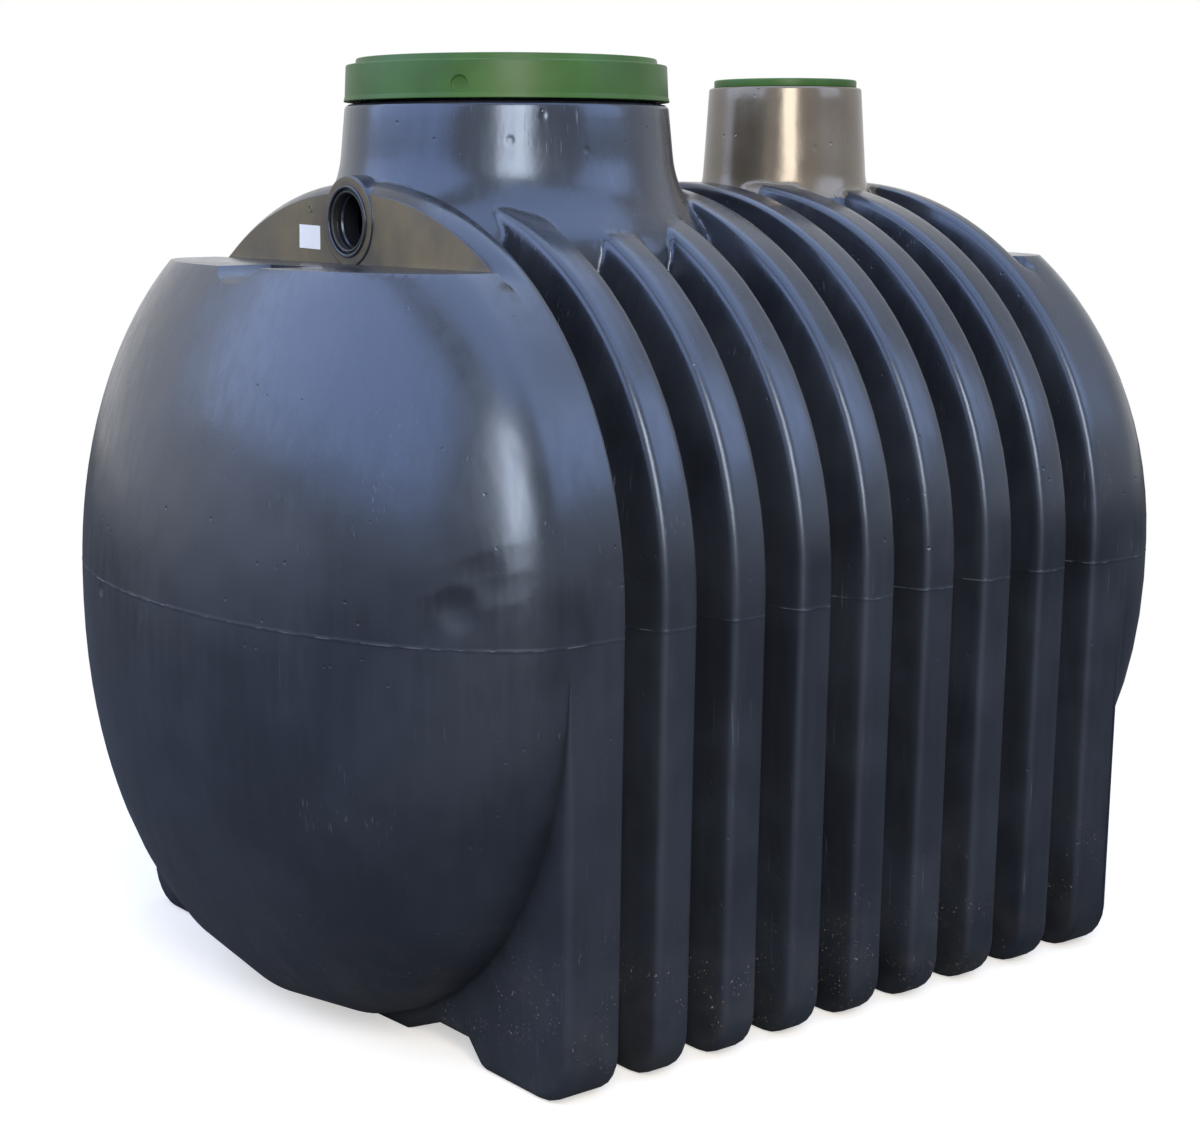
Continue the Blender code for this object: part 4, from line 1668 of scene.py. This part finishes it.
@dataclass(frozen=True)
class StudioPaper:
    """Matt grey paper that the camera sees white, with the tank's shadow on it."""

    colour: str = "#757575"
    seen: str = "#e2dcd3"
    lift: float = 0.50
    near: float = 1.5
    far: float = 3.4

    def make(self) -> bpy.types.Material:
        """Build the material.

        Returns:
            The material.
        """
        graph = NodeGraph(bpy.data.materials.new("studio_paper"))
        reach = graph.add("ShaderNodeVectorMath", {0: graph.place}, "Value", operation="LENGTH")
        paper = graph.add("ShaderNodeBsdfDiffuse", {"Color": linear(self.colour)})
        pale = graph.add("ShaderNodeAddShader", {
            0: graph.add("ShaderNodeBsdfDiffuse", {"Color": linear(self.seen)}),
            1: graph.add("ShaderNodeEmission", {"Color": WHITE, "Strength": self.lift})})
        seen = graph.add("ShaderNodeMixShader", {
            "Fac": graph.between(reach, self.near, self.far), 1: pale,
            2: graph.add("ShaderNodeEmission", {"Color": WHITE, "Strength": 1.0})})
        camera_ray = graph.add("ShaderNodeLightPath", output="Is Camera Ray")
        return graph.close(graph.add("ShaderNodeMixShader", {"Fac": camera_ray, 1: paper, 2: seen}))


# Studio


@dataclass(frozen=True)
class Viewpoint:
    """The photograph's camera, solved from the ribs, the feet and the necks; angles are in degrees."""

    place: tuple[float, float, float] = (3.8405, -3.0849, 1.6672)
    azimuth: float = 51.733
    pitch: float = -9.869
    roll: float = 0.038
    lens: float = 67.943
    sensor: float = 36.0
    clip_end: float = 100.0

    def build(self) -> None:
        """Create the camera and make it the scene's own."""
        data = bpy.data.cameras.new("camera")
        data.lens = self.lens
        data.sensor_width = self.sensor
        data.clip_end = self.clip_end
        camera = bpy.data.objects.new("camera", data)
        bpy.context.scene.collection.objects.link(camera)
        turn = (Matrix.Rotation(math.radians(self.azimuth), 4, "Z")
                @ Matrix.Rotation(math.radians(90 + self.pitch), 4, "X")
                @ Matrix.Rotation(math.radians(self.roll), 4, "Z"))
        camera.matrix_world = Matrix.Translation(self.place) @ turn
        bpy.context.scene.camera = camera


@dataclass(frozen=True)
class SoftBox:
    """One studio area lamp, in metres and watts."""

    name: str
    place: tuple[float, float, float]
    target: tuple[float, float, float]
    width: float
    height: float
    power: float
    colour: str

    def build(self) -> None:
        """Create the lamp."""
        data = bpy.data.lights.new(self.name, "AREA")
        data.shape = "RECTANGLE"
        data.size = self.width
        data.size_y = self.height
        data.energy = self.power
        data.color = linear(self.colour)[:3]
        lamp = bpy.data.objects.new(self.name, data)
        lamp.visible_camera = False
        bpy.context.scene.collection.objects.link(lamp)
        lamp.location = self.place
        aim = Vector(self.target) - Vector(self.place)
        lamp.rotation_euler = aim.to_track_quat("-Z", "Y").to_euler()


@dataclass(frozen=True)
class Studio:
    """Pale floor, white surroundings and large soft lamps, cool from above as under an open sky."""

    colour: str = "#dfe3ea"
    strength: float = 0.30
    floor_reach: float = 30.0
    lamps: tuple[SoftBox, ...] = (
        SoftBox("front_sky", (-1.24, -4.30, 3.85), (0.3, -1.0, 1.2), 7.0, 3.6, 235.0, "#b9d0ff"),
        SoftBox("key", (5.2, -3.3, 3.6), (0.3, -0.5, 1.6), 2.3, 3.6, 340.0, "#fff9ee"),
        SoftBox("side_sky", (4.3, 2.7, 4.0), (0.8, 0.0, 1.1), 3.5, 2.6, 90.0, "#c4d8ff"),
        SoftBox("overhead", (0.6, 0.1, 5.5), (0.4, 0.1, 1.5), 5.5, 7.0, 270.0, "#b6d0ff"),
    )

    def world(self) -> None:
        """Even pale light from all round, and a white that the camera and reflections see."""
        bpy.context.scene.world = bpy.data.worlds.new("studio")
        graph = NodeGraph(bpy.context.scene.world)
        sight = graph.figure(Operation.LARGER, *[
            graph.add("ShaderNodeLightPath", output=kind)
            for kind in ("Is Camera Ray", "Is Glossy Ray", "Is Transmission Ray")])
        soft = graph.add("ShaderNodeBackground", {"Color": linear(self.colour), "Strength": self.strength})
        white = graph.add("ShaderNodeBackground", {"Color": WHITE, "Strength": 1.0})
        mixed = graph.add("ShaderNodeMixShader", {"Fac": sight, 1: soft, 2: white})
        graph.close(mixed, "ShaderNodeOutputWorld")

    def build(self) -> None:
        """Set up the world, the floor and the lamps."""
        self.world()
        ground = bmesh.new()
        bmesh.ops.create_grid(ground, x_segments=1, y_segments=1, size=self.floor_reach)
        add_piece("studio_floor", ground, StudioPaper().make())
        for lamp in self.lamps:
            lamp.build()


def middle(node: str) -> Vector:
    """Middle of a node's box."""
    low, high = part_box(node)
    return (low + high) / 2


def placed_ends() -> tuple[PipeEnd, PipeEnd]:
    """Place both ends from the frame's boxes.

    Returns:
        The inlet's end and the outlet's end.
    """
    front_low, rear_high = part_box("front_band")[0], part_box("rear_band")[1]
    front_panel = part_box("inlet_socket")[0].y + CAD_SOCKET_PROUD
    rear_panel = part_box("outlet_socket")[1].y - CAD_SOCKET_PROUD
    inlet = PipeEnd("inlet", front_low.y, 1.0, FRONT_BAND_WIDTH, front_low.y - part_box("front_end")[0].y,
                    front_panel - front_low.y, middle("inlet_socket").z)
    outlet = PipeEnd("outlet", rear_high.y, -1.0, REAR_BAND_WIDTH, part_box("rear_end")[1].y - rear_high.y,
                     rear_high.y - rear_panel, middle("outlet_socket").z)
    return inlet, outlet


def build_tank() -> None:
    """Make the finishes, and build and dress every piece of the tank."""
    inlet, outlet = placed_ends()
    manhole_y, inspection_y = middle("manhole_cover").y, middle("inspection_cap").y
    cover_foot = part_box("manhole_cover")[0].z
    cap_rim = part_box("inspection_cap")[0].z + InspectionCap.plug_depth
    black = RotomouldedPolyethylene().make()
    dusty = RotomouldedPolyethylene("weathered_polyethylene", "#2b2824", "#3a332b", satin=0.42, gloss=0.36,
                                    specular=0.40, stain="#6e6142", stain_share=0.85).make()
    bright = RotomouldedPolyethylene("glossy_polyethylene", "#35312c", "#49433b", specular=1.0, gloss=0.15,
                                     stain="#6a6154", stain_share=0.45, sheen_colour="#fff2e2").make()
    green = PlainPlastic("injection_moulded_polypropylene", "#2c4d1d", "#375a27", 0.42, specular=0.25).make()
    rubber = PlainPlastic("seal_rubber", "#121213", "#1e1e1f", 0.55).make()
    paper = PlainPlastic("coated_label_paper", "#efeeea", "#e0deda", 0.50, specular=0.30).make()
    MouldedBody(TankForm(), Fineness(), inlet, outlet, manhole_y, inspection_y,
                cover_foot - COVER_CLEARANCE, cap_rim).build(black, dusty, bright)
    ManholeCover(manhole_y, cover_foot).build(green)
    InspectionCap(inspection_y, cap_rim).build(green)
    for end in (inlet, outlet):
        PipeFitting(end).build(black, rubber)
    FaceMarks(inlet.at(inlet.setback)).build(paper, dusty)


def main() -> None:
    """Load the frame and build the dressed tank round it."""
    logging.basicConfig(level=logging.INFO, format="%(name)s: %(message)s")
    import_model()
    bpy.context.scene.view_settings.view_transform = "Standard"
    build_tank()
    Viewpoint().build()
    Studio().build()


if __name__ == "__main__":
    main()
